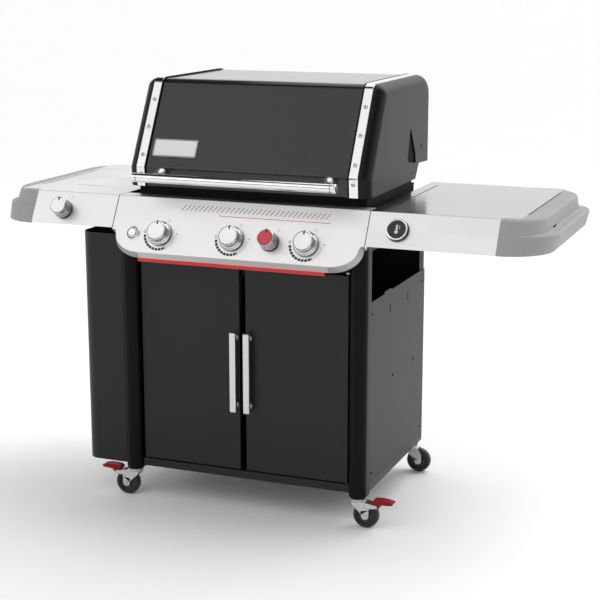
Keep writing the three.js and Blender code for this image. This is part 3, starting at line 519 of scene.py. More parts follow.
# ---- lid ----
SHELL_LOW, SHELL_HIGH = box("lid_shell")
CAST_WALL = 4.0
LID_BEND_UP = 58.0  # skirt height
LID_BACKSET = 135.0  # the front leans back by this much
LID_TAB_UP = 41.0  # lower edge of the rear above the skirt's
TAB_IN = (SHELL_HIGH.y - 122.2, SHELL_LOW.z + LID_TAB_UP + 4)
SIDE_FOOT = (SHELL_HIGH.y - 156.2, SHELL_LOW.z)
LID_CORNERS = [
    (SHELL_LOW.y + 4, SHELL_LOW.z),
    (SHELL_LOW.y, SHELL_LOW.z + LID_BEND_UP),
    (SHELL_LOW.y + LID_BACKSET, SHELL_HIGH.z),
    (SHELL_HIGH.y, SHELL_HIGH.z),
    (SHELL_HIGH.y, SHELL_LOW.z + LID_TAB_UP),
]
LID_RADII = [0, 10, 30, 62, 0]
LID_ROLL = 34.0  # rounding between a side casting's flat and its rim
CAST_LOW_Z = SHELL_LOW.z - LID_ROLL - 3 * CAST_WALL  # a casting's outline runs on down to here, and is cut
SEAM_X = SHELL_HIGH.x - CART_X  # lid middle to the end of the shell
LID_HALF = LID_HIGH.x - CART_X
VENT = [(143, 1121), (116, 1028), (126, 1016), (200, 1006), (194, 1036)]  # y and z of its corners
BAND_IN = 318.6  # lid middle to the inner edge of a trim band
BAND_OUT = 345.0
BAND_PROUD = 3.2
BAND_SCREWS = (37, 126, 213)  # up the slope from the bend
GASKET_WIDE = 4.0
SHADE_PLATE_LOW, SHADE_PLATE_HIGH = (104, 1000), (206, 1130)  # y and z of the corners of the dark plate of painted shade behind a vent
HANDLE_R = 13.5
HANDLE_FOOT_X = 262.0  # lid middle to a foot of the handle
HANDLE_FOOT_TILT = 2.0
BADGE = (CART_X - 303, CART_X - 161, 34, 90)  # both ends, and both edges up the slope


def slope_place(x, s, out=0.0):
    """Place on the lid's leaning front: s is measured up from the bend."""
    foot, top = Vector(LID_CORNERS[1]), Vector(LID_CORNERS[2])
    up = (top - foot).normalized()
    along = Vector((0, up.x, up.y))
    normal = Vector((1, 0, 0)).cross(along)
    return slope_frame(Vector((x, foot.x, foot.y)) + along * s + normal * out, along, normal)


def lid_shell():
    """Rolled sheet with a hem along its front edge."""
    foot_y, foot_z = LID_CORNERS[0]
    hem = [(foot_y + 14, foot_z + 5), (foot_y + 11, foot_z)]
    path = fillet(hem + LID_CORNERS, [0, 3, 5] + LID_RADII[1:], 10)
    bm = prism_mesh(sheet(path, 2.0), CART_X - SEAM_X + 3, CART_X + SEAM_X - 3, "x")
    soften(bm, 0.5, 2, 60)
    stand_in("lid_shell", bm, ENAMEL)


def casting_solid(wall, seam):
    """Solid of a side casting's outside, or of its inside when a wall is given, running on below the lid."""
    corners = [(LID_CORNERS[0][0] + 3, CAST_LOW_Z)] + LID_CORNERS[1:4] + [(SHELL_HIGH.y, CAST_LOW_Z)]
    steps = 8
    levels = [(seam, 0.0)]
    for i in range(steps + 1):
        angle = math.pi / 2 * i / steps
        out = LID_HALF - LID_ROLL + LID_ROLL * math.sin(angle) - wall
        levels.append((out, LID_ROLL * (1 - math.cos(angle))))
    rows = []
    for x, inset in levels:
        moved = offset(corners, inset + wall, closed=True)
        reduced = [0 if radius == 0 else max(radius - inset - wall, 1.0) for radius in LID_RADII]
        rows.append([Vector((CART_X + x, y, z)) for y, z in fillet(moved, reduced, 8)])
    bm = bmesh.new()
    skin(bm, rows)
    return bm


def lid_casting(side):
    """Hollow side casting with a bore for its hinge pin and a vent."""
    bm = casting_solid(0, SEAM_X + HAIR)
    flat = CART_X + LID_HALF
    near, far = flat - CAST_WALL - 1, flat + 2
    foot, tab = SHELL_LOW.z, SHELL_LOW.z + LID_TAB_UP
    front, rear = SHELL_LOW.y - 5, SHELL_HIGH.y + 9
    under = [(front, CAST_LOW_Z - 1), (rear, CAST_LOW_Z - 1), (rear, tab), (SHELL_HIGH.y - LID_ROLL, tab)]
    under += [TAB_IN, SIDE_FOOT, (front, foot)]
    below = prism_mesh(under, CART_X + SEAM_X - 2, flat + 1, "x")
    bore = bmesh.new()
    pivot = joint_point("lid_hinge")
    rod(bore, 6, (near, pivot.y, pivot.z), (far, pivot.y, pivot.z))
    vent = prism_mesh(fillet(VENT, [3, 4, 4, 3, 6], 4, closed=True), near, far, "x")
    carve(bm, casting_solid(CAST_WALL, SEAM_X - 1), below, bore, vent)
    to_side(bm, side, CART_X)
    stand_in("lid_end_" + WORD[side], bm, CASTING)


def vent_shade_plate(side):
    """Dark plate behind a casting's vent: painted shade that keeps the vent dark."""
    inner = CART_X + LID_HALF - CAST_WALL
    bm = slab_mesh((inner - 2.3, *SHADE_PLATE_LOW), (inner - HAIR, *SHADE_PLATE_HIGH), 0.5)
    to_side(bm, side, CART_X)
    add_piece("vent_shade_plate_" + WORD[side], bm, "lid", [GASKET])


def screw(bm, place, radius=5.0, height=2.6):
    """Domed screw head with a six-sided socket."""
    dome = [(radius * math.cos(a), height * math.sin(a)) for a in (0, 0.35, 0.7, 1.05, 1.3)]
    rim = (radius * 0.42, height * 0.98)
    lathe(bm, [(0, -0.5), (radius, -0.5), *dome, rim], place, 24)
    lathe(bm, [rim, (radius * 0.4, height * 0.4), (0, height * 0.4)], place, 6)


def arch():
    """The lid's outer path from just above the skirt's edge, up and over the top."""
    (foot_y, foot_z), *path, (tab_y, tab_z) = fillet(LID_CORNERS, LID_RADII, 12)
    return [(foot_y, foot_z + 1.5), *path, (tab_y, tab_z + 4)]


def trim_band(side):
    """Bright band with its screws, and a dark piece with its gasket, the screws' rings, and dark discs over the
    screws' sockets that are painted shade.
    """
    bm = bmesh.new()
    strip(bm, arch(), CART_X + BAND_IN, CART_X + BAND_OUT, BAND_PROUD, 0.9)
    middle = CART_X + (BAND_IN + BAND_OUT) / 2
    bend_y, bend_z = LID_CORNERS[1]
    places = [slope_place(middle, s, BAND_PROUD) for s in BAND_SCREWS]
    places.append(spot((middle, bend_y - BAND_PROUD + 1.2, bend_z - 18), 1, "X"))
    for place in places:
        screw(bm, place)
    to_side(bm, side, CART_X)
    add_piece("trim_band_" + WORD[side], bm, "lid", [CHROME])
    bm = bmesh.new()
    strip(bm, arch(), CART_X + BAND_IN - GASKET_WIDE, CART_X + BAND_IN - 0.2, BAND_PROUD + 0.6, 0.3)
    for place in places:
        # the two six-sided discs at each screw darken its socket: painted shade
        for sides, reach, low, high in ((28, 6.3, 0.02, 0.12), (6, 2.2, 2.55, 2.75), (6, 1.6, 2.7, 2.9)):
            lathe(bm, [(0, low), (reach, low), (reach, high), (0, high)], place, sides)
    to_side(bm, side, CART_X)
    add_piece("lid_gasket_" + WORD[side], bm, "lid", [GASKET])


def lid_handle():
    """Tube with rimmed ends and a joint groove near each, on two flared feet."""
    low, high = box("lid_handle")
    middle = Vector((0, low.y + HANDLE_R, low.z + HANDLE_R))
    r = HANDLE_R
    end = [(0, 0), (r * 0.62, 0), (r * 0.66, 0.8), (r * 0.72, 0.8), (r * 0.76, 0), (r * 0.86, 0.2)]
    end += [(r * 0.96, 1.6), (r, 4), (r, 15), (r - 0.7, 15.4), (r - 0.7, 16.6), (r, 17)]
    profile = [(radius, low.x + up) for radius, up in end]
    profile += [(radius, high.x - up) for radius, up in reversed(end)]
    dark = {1, 2, 3, 9, 10}
    count = len(profile) - 1
    materials = [1 if i in dark or count - 1 - i in dark else 0 for i in range(count)]
    bm = bmesh.new()
    lathe(bm, profile, spot(middle, 1, "Y"), 48, materials)
    neck = [(0, 8), (9.5, 8), (9.5, 52), (10.5, 60), (13, 66), (16, 71), (17.8, 77), (18.2, 83)]
    neck += [(17, 92), (0, 92)]
    for side in WORD:
        at = (CART_X + side * HANDLE_FOOT_X, middle.y, middle.z)
        lathe(bm, neck, spot(at, HANDLE_FOOT_TILT / 90 - 1, "X"), 32, [2] * (len(neck) - 1))
    stand_in("lid_handle", bm, CHROME, BLACK_PLASTIC, KNOB_SIDE)


def badge():
    """Blank plate on the lid's front: a bright rim round a pale face."""
    x0, x1, s0, s1 = BADGE
    rim = [(0, 0), (0, 1.6), (0.8, 2.6), (3.2, 2.6), (4.0, 1.6), (4.2, 1.6)]
    face = [(0, 1.7), (0, 2.1), (0.5, 2.4)]
    plans = (
        ("badge_rim", "chrome", BADGE_RIM, 0, 7, rim),
        ("badge_face", "satin_steel", BADGE_FACE, 4.4, 3, face),
    )
    for name, slot, made, inset, radius, section in plans:
        bm = bmesh.new()
        pan(bm, rectangle(x0 + inset, x1 - inset, s0 + inset, s1 - inset), radius, section)
        bm.transform(slope_place(0, 0, 0.1))
        add_piece(name, bm, "lid", [made])


def lid_hinges():
    """Hinge pin heads outside the castings."""
    pivot = joint_point("lid_hinge")
    for side, word in WORD.items():
        bm = bmesh.new()
        place = spot((CART_X + side * (LID_HALF - 3), pivot.y, pivot.z), side, "Y")
        lathe(bm, [(0, 0), (5.5, 0), (5.5, 2.0), (4.8, 2.8), (0, 3.0)], place, 24)
        add_piece("lid_pin_" + word, bm, "cart", [BLACK_CASTING])


# ---- front panel ----
PANEL_LOW, PANEL_HIGH = box("control_panel")
SEAM_LEFT, SEAM_RIGHT = PANEL_LOW.x, PANEL_HIGH.x
PANEL_DEEP = 173.0  # lower lip, down the slope from the top edge
SEAM_DEEP = (TABLE_Z - FACE_FOOT_Z) / math.cos(LEAN)
LIP_OUT = 10.0
LIP_BACK = 22.0
CURVE_RUN = 82.0
CURVE_START = 16.0
MARK_HIGH = 0.12  # printed marks stand this proud
DASH = [(-7.4, -35), (-4.2, -35), (9.2, -17), (6, -17)]
BRACKET_X, BRACKET_S = (-106, 234), (-46.4, -44.6)  # its ends, and the edges of its line
BRACKET_ARM, BRACKET_WIDE = 4.0, 1.8


def arc(cx, cy, rx, ry, start, end, steps):
    """Points along an ellipse, in degrees anticlockwise from x."""
    angles = [math.radians(start + (end - start) * i / steps) for i in range(steps + 1)]
    return [(cx + rx * math.cos(a), cy + ry * math.sin(a)) for a in angles]


def panel_outline(grow, draw_in=0.0):
    """Face outline; grow moves the lip out, and draw_in moves the seams and the top inward."""
    drop = PANEL_DEEP - SEAM_DEEP - 10 + grow
    run = CURVE_RUN + grow
    level = -SEAM_DEEP - 10
    corner = CURVE_START + CURVE_RUN
    left, right = SEAM_LEFT + draw_in, SEAM_RIGHT - draw_in
    shoulder = 12 - grow * 0.5
    return [
        (left, -draw_in),
        (left, -SEAM_DEEP - grow * 0.3),
        (SEAM_LEFT + shoulder, -SEAM_DEEP - 2 - grow * 0.3),
        *arc(SEAM_LEFT + corner, level, run, drop, 184, 270, 20),
        *arc(SEAM_RIGHT - corner, level, run, drop, 270, 356, 20),
        (SEAM_RIGHT - shoulder, -SEAM_DEEP - 2 - grow * 0.3),
        (right, -SEAM_DEEP - grow * 0.3),
        (right, -draw_in),
    ]


def control_panel():
    """Folded panel whose lip has painted shade: a darker copy of the satin steel along the straight part, and a
    darker one still round the ends.
    """
    back = -LIP_BACK
    levels = [(-2.2, 0.9, 0.0), (-0.9, 0.35, -0.35), (0.0, 0.0, -1.6), (LIP_OUT - 0.5, 0.0, back + 1)]
    levels += [(LIP_OUT, 0.0, back), (LIP_OUT - 1, 0.3, back - 0.6), (LIP_OUT - 2.5, 2.0, back)]
    levels += [(-2.0, 2.0, -2.5)]
    bm = bmesh.new()
    skin(bm, [[Vector((x, s, z)) for x, s in panel_outline(grow, seam)] for grow, seam, z in levels])
    curve = CURVE_START + CURVE_RUN
    for face in bm.faces:
        centre = face.calc_center_median()
        # painted shade: the lip's faces get the darker steels, the darkest round the ends
        in_painted_shade_lip = back - 0.5 < centre.z < -1.2 and centre.y < -SEAM_DEEP
        if in_painted_shade_lip and face.normal.z > -0.9:
            face.material_index = 1 if SEAM_LEFT + curve < centre.x < SEAM_RIGHT - curve else 2
    bm.transform(FACE)
    top = [(face_y(TABLE_Z) + 0.6, TABLE_Z - 4), (FACE_TOP_Y + 1.6, TABLE_Z), (BOX_LOW.y - 2, TABLE_Z)]
    path = fillet(top, 2, 5) + [(BOX_LOW.y - 2, TABLE_Z - 8)]
    prism(bm, sheet(path, 1.5), SEAM_LEFT + 0.4, SEAM_RIGHT - 0.4, "x")
    stand_in("control_panel", bm, SATIN, LIP_PAINTED_SHADE, LIP_END_PAINTED_SHADE)


def panel_seams():
    """Dark joint lines between the panel and the two tables, down the face and over the top."""
    bm = bmesh.new()
    half = 0.9
    for x in (SEAM_LEFT, SEAM_RIGHT):
        mark(bm, rectangle(x - half, x + half, -SEAM_DEEP + 0.5, -1.0), on_face(0, 0, 0.62))
        top = Matrix.Translation((0, 0, TABLE_Z))
        mark(bm, rectangle(x - half, x + half, FACE_TOP_Y + 2, BOX_LOW.y - 3), top)
    add_piece("panel_seams", bm, "cart", [GASKET])


def accent_strip():
    """Red strip that hangs below the straight part of the lip."""
    foot = FACE @ Vector((0, -PANEL_DEEP - LIP_OUT, -LIP_BACK))
    low = (CART_X - 308, foot.y + 0.5, foot.z - 11)
    high = (CART_X + 277, foot.y + 6, foot.z + 1)
    add_piece("accent_strip", slab_mesh(low, high, 1.2), "cart", [RED_STRIP])


def mark(bm, outline, place):
    """A printed mark: an outline at a place, standing a hair proud."""
    part = prism_mesh(outline, -0.05, MARK_HIGH)
    part.transform(place)
    merge_into(bm, part)


def ring_sector(inner, outer, start, end, steps=6):
    """Outline of a piece of a ring, in degrees anticlockwise from x."""
    return arc(0, 0, outer, outer, start, end, steps) + arc(0, 0, inner, inner, end, start, steps)


def small_ring(bm, place, x, y, radius, stroke):
    """A printed open circle, as two half rings."""
    for start in (0, 180):
        outline = ring_sector(radius - stroke, radius, start, start + 180, 10)
        mark(bm, [(x + a, y + b) for a, b in outline], place)


def dot(bm, place, x, y, radius, steps=12):
    """A printed round dot."""
    mark(bm, [(x + a, y + b) for a, b in ring_sector(0.01, radius, 0, 359, steps)], place)


def hatch():
    """Slanted dashes along the panel's upper edge."""
    bm = bmesh.new()
    first, last, count = -222.0, 224.0, 33
    for i in range(count):
        x = first + (last - first) * i / (count - 1)
        mark(bm, [(x + a, s) for a, s in DASH], FACE)
    add_piece("panel_hatch", bm, "cart", [INK_GREY])


def bracket():
    """Thin red line that groups two knobs."""
    bm = bmesh.new()
    top = BRACKET_S[1]
    mark(bm, rectangle(*BRACKET_X, *BRACKET_S), FACE)
    for x in (BRACKET_X[0], BRACKET_X[1] - BRACKET_WIDE):
        mark(bm, rectangle(x, x + BRACKET_WIDE, top, top + BRACKET_ARM), FACE)
    add_piece("panel_bracket", bm, "cart", [INK_RED])


def dial_marks():
    """Printed scale round each knob."""
    bm = bmesh.new()
    pale = bmesh.new()
    for number in (1, 2, 3):
        place = knob_place(f"burner_knob_{number}_turn")
        for i in range(9):
            start = 186 + 12.6 * i
            mark(bm, ring_sector(44.0, 51.5, start, start + 10.4), place)
        mark(bm, ring_sector(43.5, 53.0, 299, 301.5), place)
        small_ring(bm, place, -49.5, 4, 4.2, 1.5)
        mark(pale, ring_sector(49.4, 50.2, 303, 356, 14), place)
        dot(bm, place, 54.5, 3, 1.9)
        small_ring(pale, place, 21, 43, 4.4, 0.9)
    place = knob_place("sear_knob_turn")
    dot(bm, place, -36, 0, 2.0)
    small_ring(pale, place, 21, 37, 4.4, 0.9)
    place = knob_place("side_burner_knob_turn")
    small_ring(pale, place, 20, 40, 3.6, 0.9)
    add_piece("dial_marks", bm, "cart", [INK])
    add_piece("dial_marks_pale", pale, "cart", [INK_GREY])


def knob_index(bm, inner, rim, top, materials):
    """Index bar at the top of a knob: a line on the face and a notch cover over the rim."""
    for start, end, material in ((inner, rim - 1.5, materials[0]), (rim - 1.5, rim + 1.4, materials[1])):
        merge_into(bm, slab_mesh((-2.4, start, top - 7), (2.4, end, top + 0.35), 0.4), material)


def skirted_knob(node):
    """Metal-faced knob with ringed sides and a flared skirt."""
    face, side, dark, chrome, red = range(5)
    profile = [
        (0, 31.2, face), (26.2, 31.6, dark), (26.8, 30.9, dark), (27.5, 30.9, chrome), (27.9, 31.8, chrome),
        (28.9, 32.0, chrome), (29.8, 31.3, chrome), (30.1, 30.0, dark), (29.4, 29.4, dark),
        (29.4, 28.2, side), (30.3, 27.6, side), (30.5, 22.6, dark), (29.9, 22.0, dark), (29.9, 21.0, side),
        (30.7, 20.4, side), (31.0, 14.8, chrome), (31.6, 14.0, chrome), (32.8, 13.3, side),
        (34.2, 11.6, side), (35.8, 9.4, chrome), (36.9, 7.8, chrome), (37.0, 6.0, dark), (36.4, 5.2, dark),
        (34, 5.0, dark), (33, 8, dark), (27, 12, dark), (26, 20, dark), (4.5, 20, dark), (0, 20, dark),
    ]
    bm = bmesh.new()
    turned(bm, profile)
    knob_index(bm, 18.5, 29.6, 31.7, (red, dark))
    bm.transform(knob_place(node + "_turn"))
    stand_in(node, bm, KNOB_FACE, KNOB_SIDE, BLACK_PLASTIC, CHROME, RED_INDEX)


def plain_knob(node, radius, height, cover):
    """Round knob with a rimmed face and slightly flared sides."""
    face, side, dark, chrome = range(4)
    r, h = radius, height
    profile = [
        (0, h - 0.8, face), (r - 2.6, h - 0.5, dark), (r - 2.1, h - 1.1, dark), (r - 1.7, h - 0.3, chrome),
        (r - 0.9, h, chrome), (r - 0.2, h - 0.7, dark), (r - 0.4, h - 2.2, side), (r, h - 3.2, side),
        (r + 1.2, 17, dark), (r + 0.9, 16.2, dark), (r + 1.4, 15.2, side), (r + 2.4, 8.5, dark),
        (r + 3, 7.4, dark), (r + 2.8, 5.2, dark), (r, 5, dark), (r - 3, 9, dark), (r - 4, 20, dark),
        (0, 20, dark),
    ]
    bm = bmesh.new()
    turned(bm, profile)
    knob_index(bm, r - 10, r - 0.2, h - 0.4, (dark, dark))
    bm.transform(knob_place(node + "_turn"))
    stand_in(node, bm, cover, KNOB_SIDE, BLACK_PLASTIC, CHROME)


def face_spot(node):
    """The place on the sloping front under the middle of a CAD node."""
    low, high = box(node)
    local = FACE.inverted() @ ((low + high) / 2)
    return on_face(local.x, -local.y)


def igniter():
    """Push button in a stepped bezel."""
    place = face_spot("igniter_button")
    button = [(0, 7.2), (7, 7.0), (8, 7.9), (10.4, 8), (11.3, 7.1), (11.5, 6), (11.5, -6), (14, -6), (14, -9)]
    bm = bmesh.new()
    lathe(bm, button + [(0, -9)], place)
    stand_in("igniter_button", bm, CHROME)
    bezel = [(12.4, -2.6), (12.4, 3.4), (13.2, 4.4), (14.6, 4.4), (15.4, 3.2), (16.8, 2.8), (18.2, 3.8)]
    bezel += [(19.6, 4.0), (21, 3.2), (22, 1.6), (22.2, 0.1), (15, 0.1), (15, -2.6), (12.4, -2.6)]
    bm = bmesh.new()
    lathe(bm, bezel, place, materials=[1, 1, 0, 0, 1, 1, 0, 0, 0, 0, 0, 0, 0])
    add_piece("igniter_bezel", bm, "cart", [CHROME, BLACK_PLASTIC])


def display():
    """Round glass display in a bright ring, with a plain thermometer sign."""
    place = face_spot("round_display")
    glass, ring, body = range(3)
    profile = [
        (0, 13.2, glass), (26.6, 12.8, ring), (27.2, 13.6, ring), (28.6, 14, ring), (30.2, 13.4, ring),
        (30.9, 11.8, body), (30.4, 11, body), (31.6, 9.6, body), (32.8, 6, body), (33, 0.4, body),
        (0, 0.4, body),
    ]
    bm = bmesh.new()
    turned(bm, profile, place)
    stand_in("round_display", bm, GLOSS_BLACK, CHROME, BLACK_PLASTIC)
    top = place @ Matrix.Translation((0, 0, 13.15))
    bm = bmesh.new()
    mark(bm, [(b, a) for a, b in capsule(4, 0, 9, 2.6)], top)
    dot(bm, top, 0, -8, 5.2, 24)
    for y in (1, 5, 9):
        mark(bm, rectangle(5.5, 9.5, y, y + 1.4), top)
    add_piece("display_sign", bm, "cart", [SIGN_PALE])


# ---- side tables ----
TABLE_END_X = 716.0  # outer end of both steel fronts
SHEET_STEEL = 1.5
FLANGE = 34.0
SEAM_SLOT = 4.2  # open seam between the right top and its end cap
CAP_SEAM_Y = (-161.0, 275.0)
TABLE_FRONT = -232.0  # front edge of the flat ends past the steel fronts
WEB_FRONT = -246.0
HOB_LOW, HOB_HIGH = box("side_burner_lid")
HOB_NOTCH = (-667, -573)


def table_path():
    """Folded section of a table: foot return, sloping front, top and rear flange."""
    rear = TABLE_HIGH.y
    points = [
        (face_y(FACE_FOOT_Z) + 9, FACE_FOOT_Z + 5),
        (face_y(FACE_FOOT_Z), FACE_FOOT_Z),
        (FACE_TOP_Y, TABLE_Z),
        (rear, TABLE_Z),
        (rear, TABLE_Z - FLANGE),
        (rear - 12, TABLE_Z - FLANGE),
    ]
    return fillet(points, [0, 1.6, 2.6, 4, 2, 0], 6)



def slot_outline(x, y0, y1, shorter, radius):
    """Outline of a long slot along Y with round ends."""
    return [(b, a) for a, b in capsule((y0 + y1) / 2, x, (y1 - y0) / 2 - shorter, radius)]


def groove(x, y0, y1):
    """Cutting tool for a long slot with round ends."""
    return prism_mesh(slot_outline(x, y0, y1, 0, 1.9), TABLE_Z - 1.0, TABLE_Z + 4)


def slot_shade(name, x, y0, y1):
    """Dark strip at the bottom of a slot: painted shade in the groove."""
    # painted shade: a near-black strip lies in the groove so that the slot reads dark
    bm = prism_mesh(slot_outline(x, y0, y1, 0.2, 1.7), TABLE_Z - 0.95, TABLE_Z - 0.55)
    add_piece(name, bm, "cart", [GASKET])


def side_table(side, made, slot_shades, openings=()):
    """Folded table with a flat end, a groove for the first of its dark strips of painted shade, and a web beside
    the cookbox.
    """
    node = WORD[side] + "_table"
    low, high = box(node)
    near, far = (low.x, high.x) if side > 0 else (high.x, low.x)
    steel = sorted((near, side * TABLE_END_X))
    flat = sorted((side * (TABLE_END_X - 0.5), far))
    web = sorted((near + side * 0.2, near + side * 2))
    bm = prism_mesh(sheet(table_path(), SHEET_STEEL), *steel, "x")
    end = prism_mesh(rectangle(*flat, TABLE_FRONT, high.y), TABLE_Z - 3, TABLE_Z)
    carve(bm, end, operation="UNION")
    carve(bm, *openings, groove(*slot_shades[0][1:]))
    stand_in(node, bm, made)
    for shaded_slot in slot_shades:
        slot_shade(*shaded_slot)
    bm = slab_mesh((web[0], WEB_FRONT, FACE_FOOT_Z + 3), (web[1], high.y - 6, TABLE_Z - 3), 0.6)
    add_piece(node + "_web", bm, "cart", [FRAME_PAINT])


def right_table():
    """Right table, with an open seam beside its end cap."""
    inner = ("table_slot_inner", TABLE_LOW.x + 36, -131, 279)
    outer = ("table_slot_outer", TABLE_HIGH.x + SEAM_SLOT / 2, *CAP_SEAM_Y)
    side_table(1, TABLE_STEEL, [inner, outer])


def left_table():
    """Left table, with an opening for the side burner."""
    corners = rectangle(HOB_LOW.x - 2, HOB_HIGH.x + 2, HOB_LOW.y - 2, HOB_HIGH.y + 3)
    opening = prism_mesh(fillet(corners, 8, 5, closed=True), TABLE_Z - 20, TABLE_Z + 2)
    side_table(-1, SATIN, [("table_slot_left", LEFT_LOW.x + 12, -141, 198)], [opening])


def front_plate():
    """Pale satin cover over the right table's sloping front."""
    bm = bmesh.new()
    section = [(0, 0.05), (0, 0.35), (0.35, 0.6)]
    ends = (TABLE_LOW.x + 0.5, TABLE_END_X - 0.3)
    pan(bm, rectangle(*ends, -SEAM_DEEP + 0.6, -1.4), 0.8, section, steps=2)
    bm.transform(FACE)
    add_piece("right_front_plate", bm, "cart", [SATIN])


def side_burner_lid():
    """Flush lid, hollow below, with a finger notch in its front edge."""
    (x0, y0, foot), (x1, y1, top) = HOB_LOW, HOB_HIGH
    notch0, notch1 = HOB_NOTCH
    outline = [(x0, y0), (notch0, y0), (notch0 + 4, y0 + 12), (notch1 - 4, y0 + 12), (notch1, y0)]
    outline += [(x1, y0), (x1, y1), (x0, y1)]
    section = [(1.4, top - 1.6), (1.4, foot), (0, foot), (0, top - 2.2), (0.6, top - 0.7), (2.0, top)]
    bm = bmesh.new()
    pan(bm, outline, [7, 3, 5, 5, 3, 7, 5, 5], section, least=0.5)
    stand_in("side_burner_lid", bm, SATIN)


CAP_STEP_Z = 885.0
# reach, front, front radius, rear and rear radius of an end cap at some heights
CAP_LOWER = [(848, face_y(FACE_FOOT_Z), 131, 348, 90), (860, face_y(CAP_STEP_Z), 138, 348, 90)]
CAP_UPPER = [(829, face_y(CAP_STEP_Z), 110, 345, 100), (823, face_y(TABLE_Z), 104, 345, 105)]


def cap_rows(inset, foot, top):
    """Rings of an end cap's skin; the ledge between its flange and its top stays flush at the front."""
    step = CAP_STEP_Z
    lower = [(foot, 1.2, 1.2), (foot + 1.5, 0, 0), (step - 9, 0, 0), (step - 5, 0.9, 0)]
    lower += [(step - 2.2, 3.2, 0), (step - 0.5, 6.6, 0), (step, 10.5, 0)]
    upper = [(step + 0.4, -7, 0), (step + 1.8, -3, 0), (step + 5.5, 0, 0), (top - 9, 0, 0)]
    upper += [(top - 5, 0.9, 0.9), (top - 2, 3.2, 3.2), (top - 0.4, 6.6, 6.6), (top, 10.5, 10.5)]
    rows = []
    plans = ((lower, CAP_LOWER, FACE_FOOT_Z, step), (upper, CAP_UPPER, step, TABLE_Z))
    for levels, (low, high), base, head in plans:
        for z, drawn, drawn_front in levels:
            share = (z - base) / (head - base)
            reach, near, near_r, far, far_r = [a + (b - a) * share for a, b in zip(low, high)]
            d, near_d = drawn + inset, drawn_front + inset
            inner = TABLE_END_X + HAIR
            corners = rectangle(inner, reach - d, near + near_d, far - d)
            outline = fillet(corners, [0, near_r - d, far_r - d, 0], 16, closed=True)
            rows.append([Vector((a, b, z - inset)) for a, b in outline])
    return rows


CAP_MOUTH_Z = 825.0  # the side that takes the table's flat end is open from here up
CAP_WALL = 3.5
CAP_SLOT_LOW = (826, -112, CAP_STEP_Z + 3.4)
CAP_SLOT_HIGH = (830.4, -78, CAP_STEP_Z + 7.6)


def end_cap(side):
    """Hollow moulded cap round a table's flat end, with a dark slot above its ledge: a dark block of painted shade
    that stands for the slot's opening.
    """
    top_end = TABLE_HIGH.x if side > 0 else -LEFT_LOW.x
    rear = TABLE_HIGH.y + 5
    top = TABLE_Z + 2
    bm = bmesh.new()
    skin(bm, cap_rows(0, FACE_FOOT_Z, TABLE_Z))
    inner = bmesh.new()
    skin(inner, cap_rows(CAP_WALL, FACE_FOOT_Z - 1, TABLE_Z))
    flat = rectangle(TABLE_END_X - 2, top_end + HAIR, TABLE_FRONT - HAIR, rear)
    carve(bm, inner, prism_mesh(flat, CAP_MOUTH_Z, top))
    if side > 0:
        seam = rectangle(top_end, top_end + SEAM_SLOT, *CAP_SEAM_Y)
        carve(bm, prism_mesh(seam, TABLE_Z - 2, top))
    to_side(bm, side)
    stand_in("end_cap_" + WORD[side], bm, CAP_PLASTIC)
    # painted shade: a dark block in the cap's side takes the place of the slot's opening
    slot = slab_mesh(CAP_SLOT_LOW, CAP_SLOT_HIGH, 0.8)
    to_side(slot, side)
    add_piece("cap_slot_" + WORD[side], slot, "cart", [GASKET])


# ---- cart ----
PULL_X = 21.5  # cart middle to the middle of a pull
PULL_HALF = 9.6
PULL_SETBACK = 6.0
SHROUD_DEEP = 100.0
SHROUD_R = 40.0
BOX_HALF = 358.0  # cart middle to the outside of the cookbox's side wall
# y and z of a lug's corners from the lid's hinge
LUG = [(-74, -119), (-8, -119), (-9, -112), (-36, -108), (-36, -50), (-74, -60)]


def post(side):
    """Front post with large front radii and a drawn-in foot."""
    node = "post_front_" + WORD[side]
    low, high = box(node)
    section = [(6, low.z), (2.6, low.z + 0.6), (0.7, low.z + 2.6), (0, low.z + 6)]
    section += [(0, high.z - 1), (1, high.z)]
    bm = bmesh.new()
    pan(bm, rectangle(low.x, high.x, low.y, high.y), (26, 26, 3, 3), section, steps=10, least=1.0)
    stand_in(node, bm, POST_PAINT)


def door(side):
    """Folded door and its flat bar pull on two round feet."""
    node = "door_" + WORD[side]
    low, high = box(node)
    section = [(3.2, low.y), (1.2, low.y + 0.5), (0.3, low.y + 1.6), (0, low.y + 3.4), (0, high.y)]
    section += [(1.6, high.y), (1.8, low.y + 2)]
    bm = bmesh.new()
    pan(bm, rectangle(low.x, high.x, low.z, high.z), 3.5, section, "y")
    stand_in(node, bm, PAINT)
    pull = "door_handle_" + WORD[side]
    low, high = box(pull)
    middle = CART_X + side * PULL_X
    near = low.y + PULL_SETBACK
    section = [(1.6, near), (0.5, near + 0.4), (0, near + 1.6), (0, near + 6.6)]
    section += [(0.5, near + 7.6), (1.4, near + 8)]
    bm = bmesh.new()
    pan(bm, rectangle(middle - PULL_HALF, middle + PULL_HALF, low.z, high.z), 2.2, section, "y")
    for z in (low.z + 18, high.z - 18):
        rod(bm, 6, (middle, near + 7, z), (middle, high.y, z), 24)
        rod(bm, 9, (middle, high.y - 2.5, z), (middle, high.y, z), 24, 0.6)
    stand_in(pull, bm, BRUSHED_UP)


def door_pins():
    """Hinge pins at the outer corners of the doors, with their brackets on the cross rail."""
    for word in WORD.values():
        at = joint_point("door_" + word + "_hinge")
        low, high = box("door_" + word)
        bm = bmesh.new()
        for start, end in ((high.z + 0.4, high.z + 7), (low.z - 2.9, low.z - 0.4)):
            rod(bm, 2.6, (at.x, at.y + 3, start), (at.x, at.y + 3, end), 16)
        slab(bm, (at.x - 6, at.y - 2, high.z + 5.5), (at.x + 6, at.y + 20, high.z + 7.5), 0.6)
        add_piece("door_pins_" + word, bm, "cart", [ZINC])


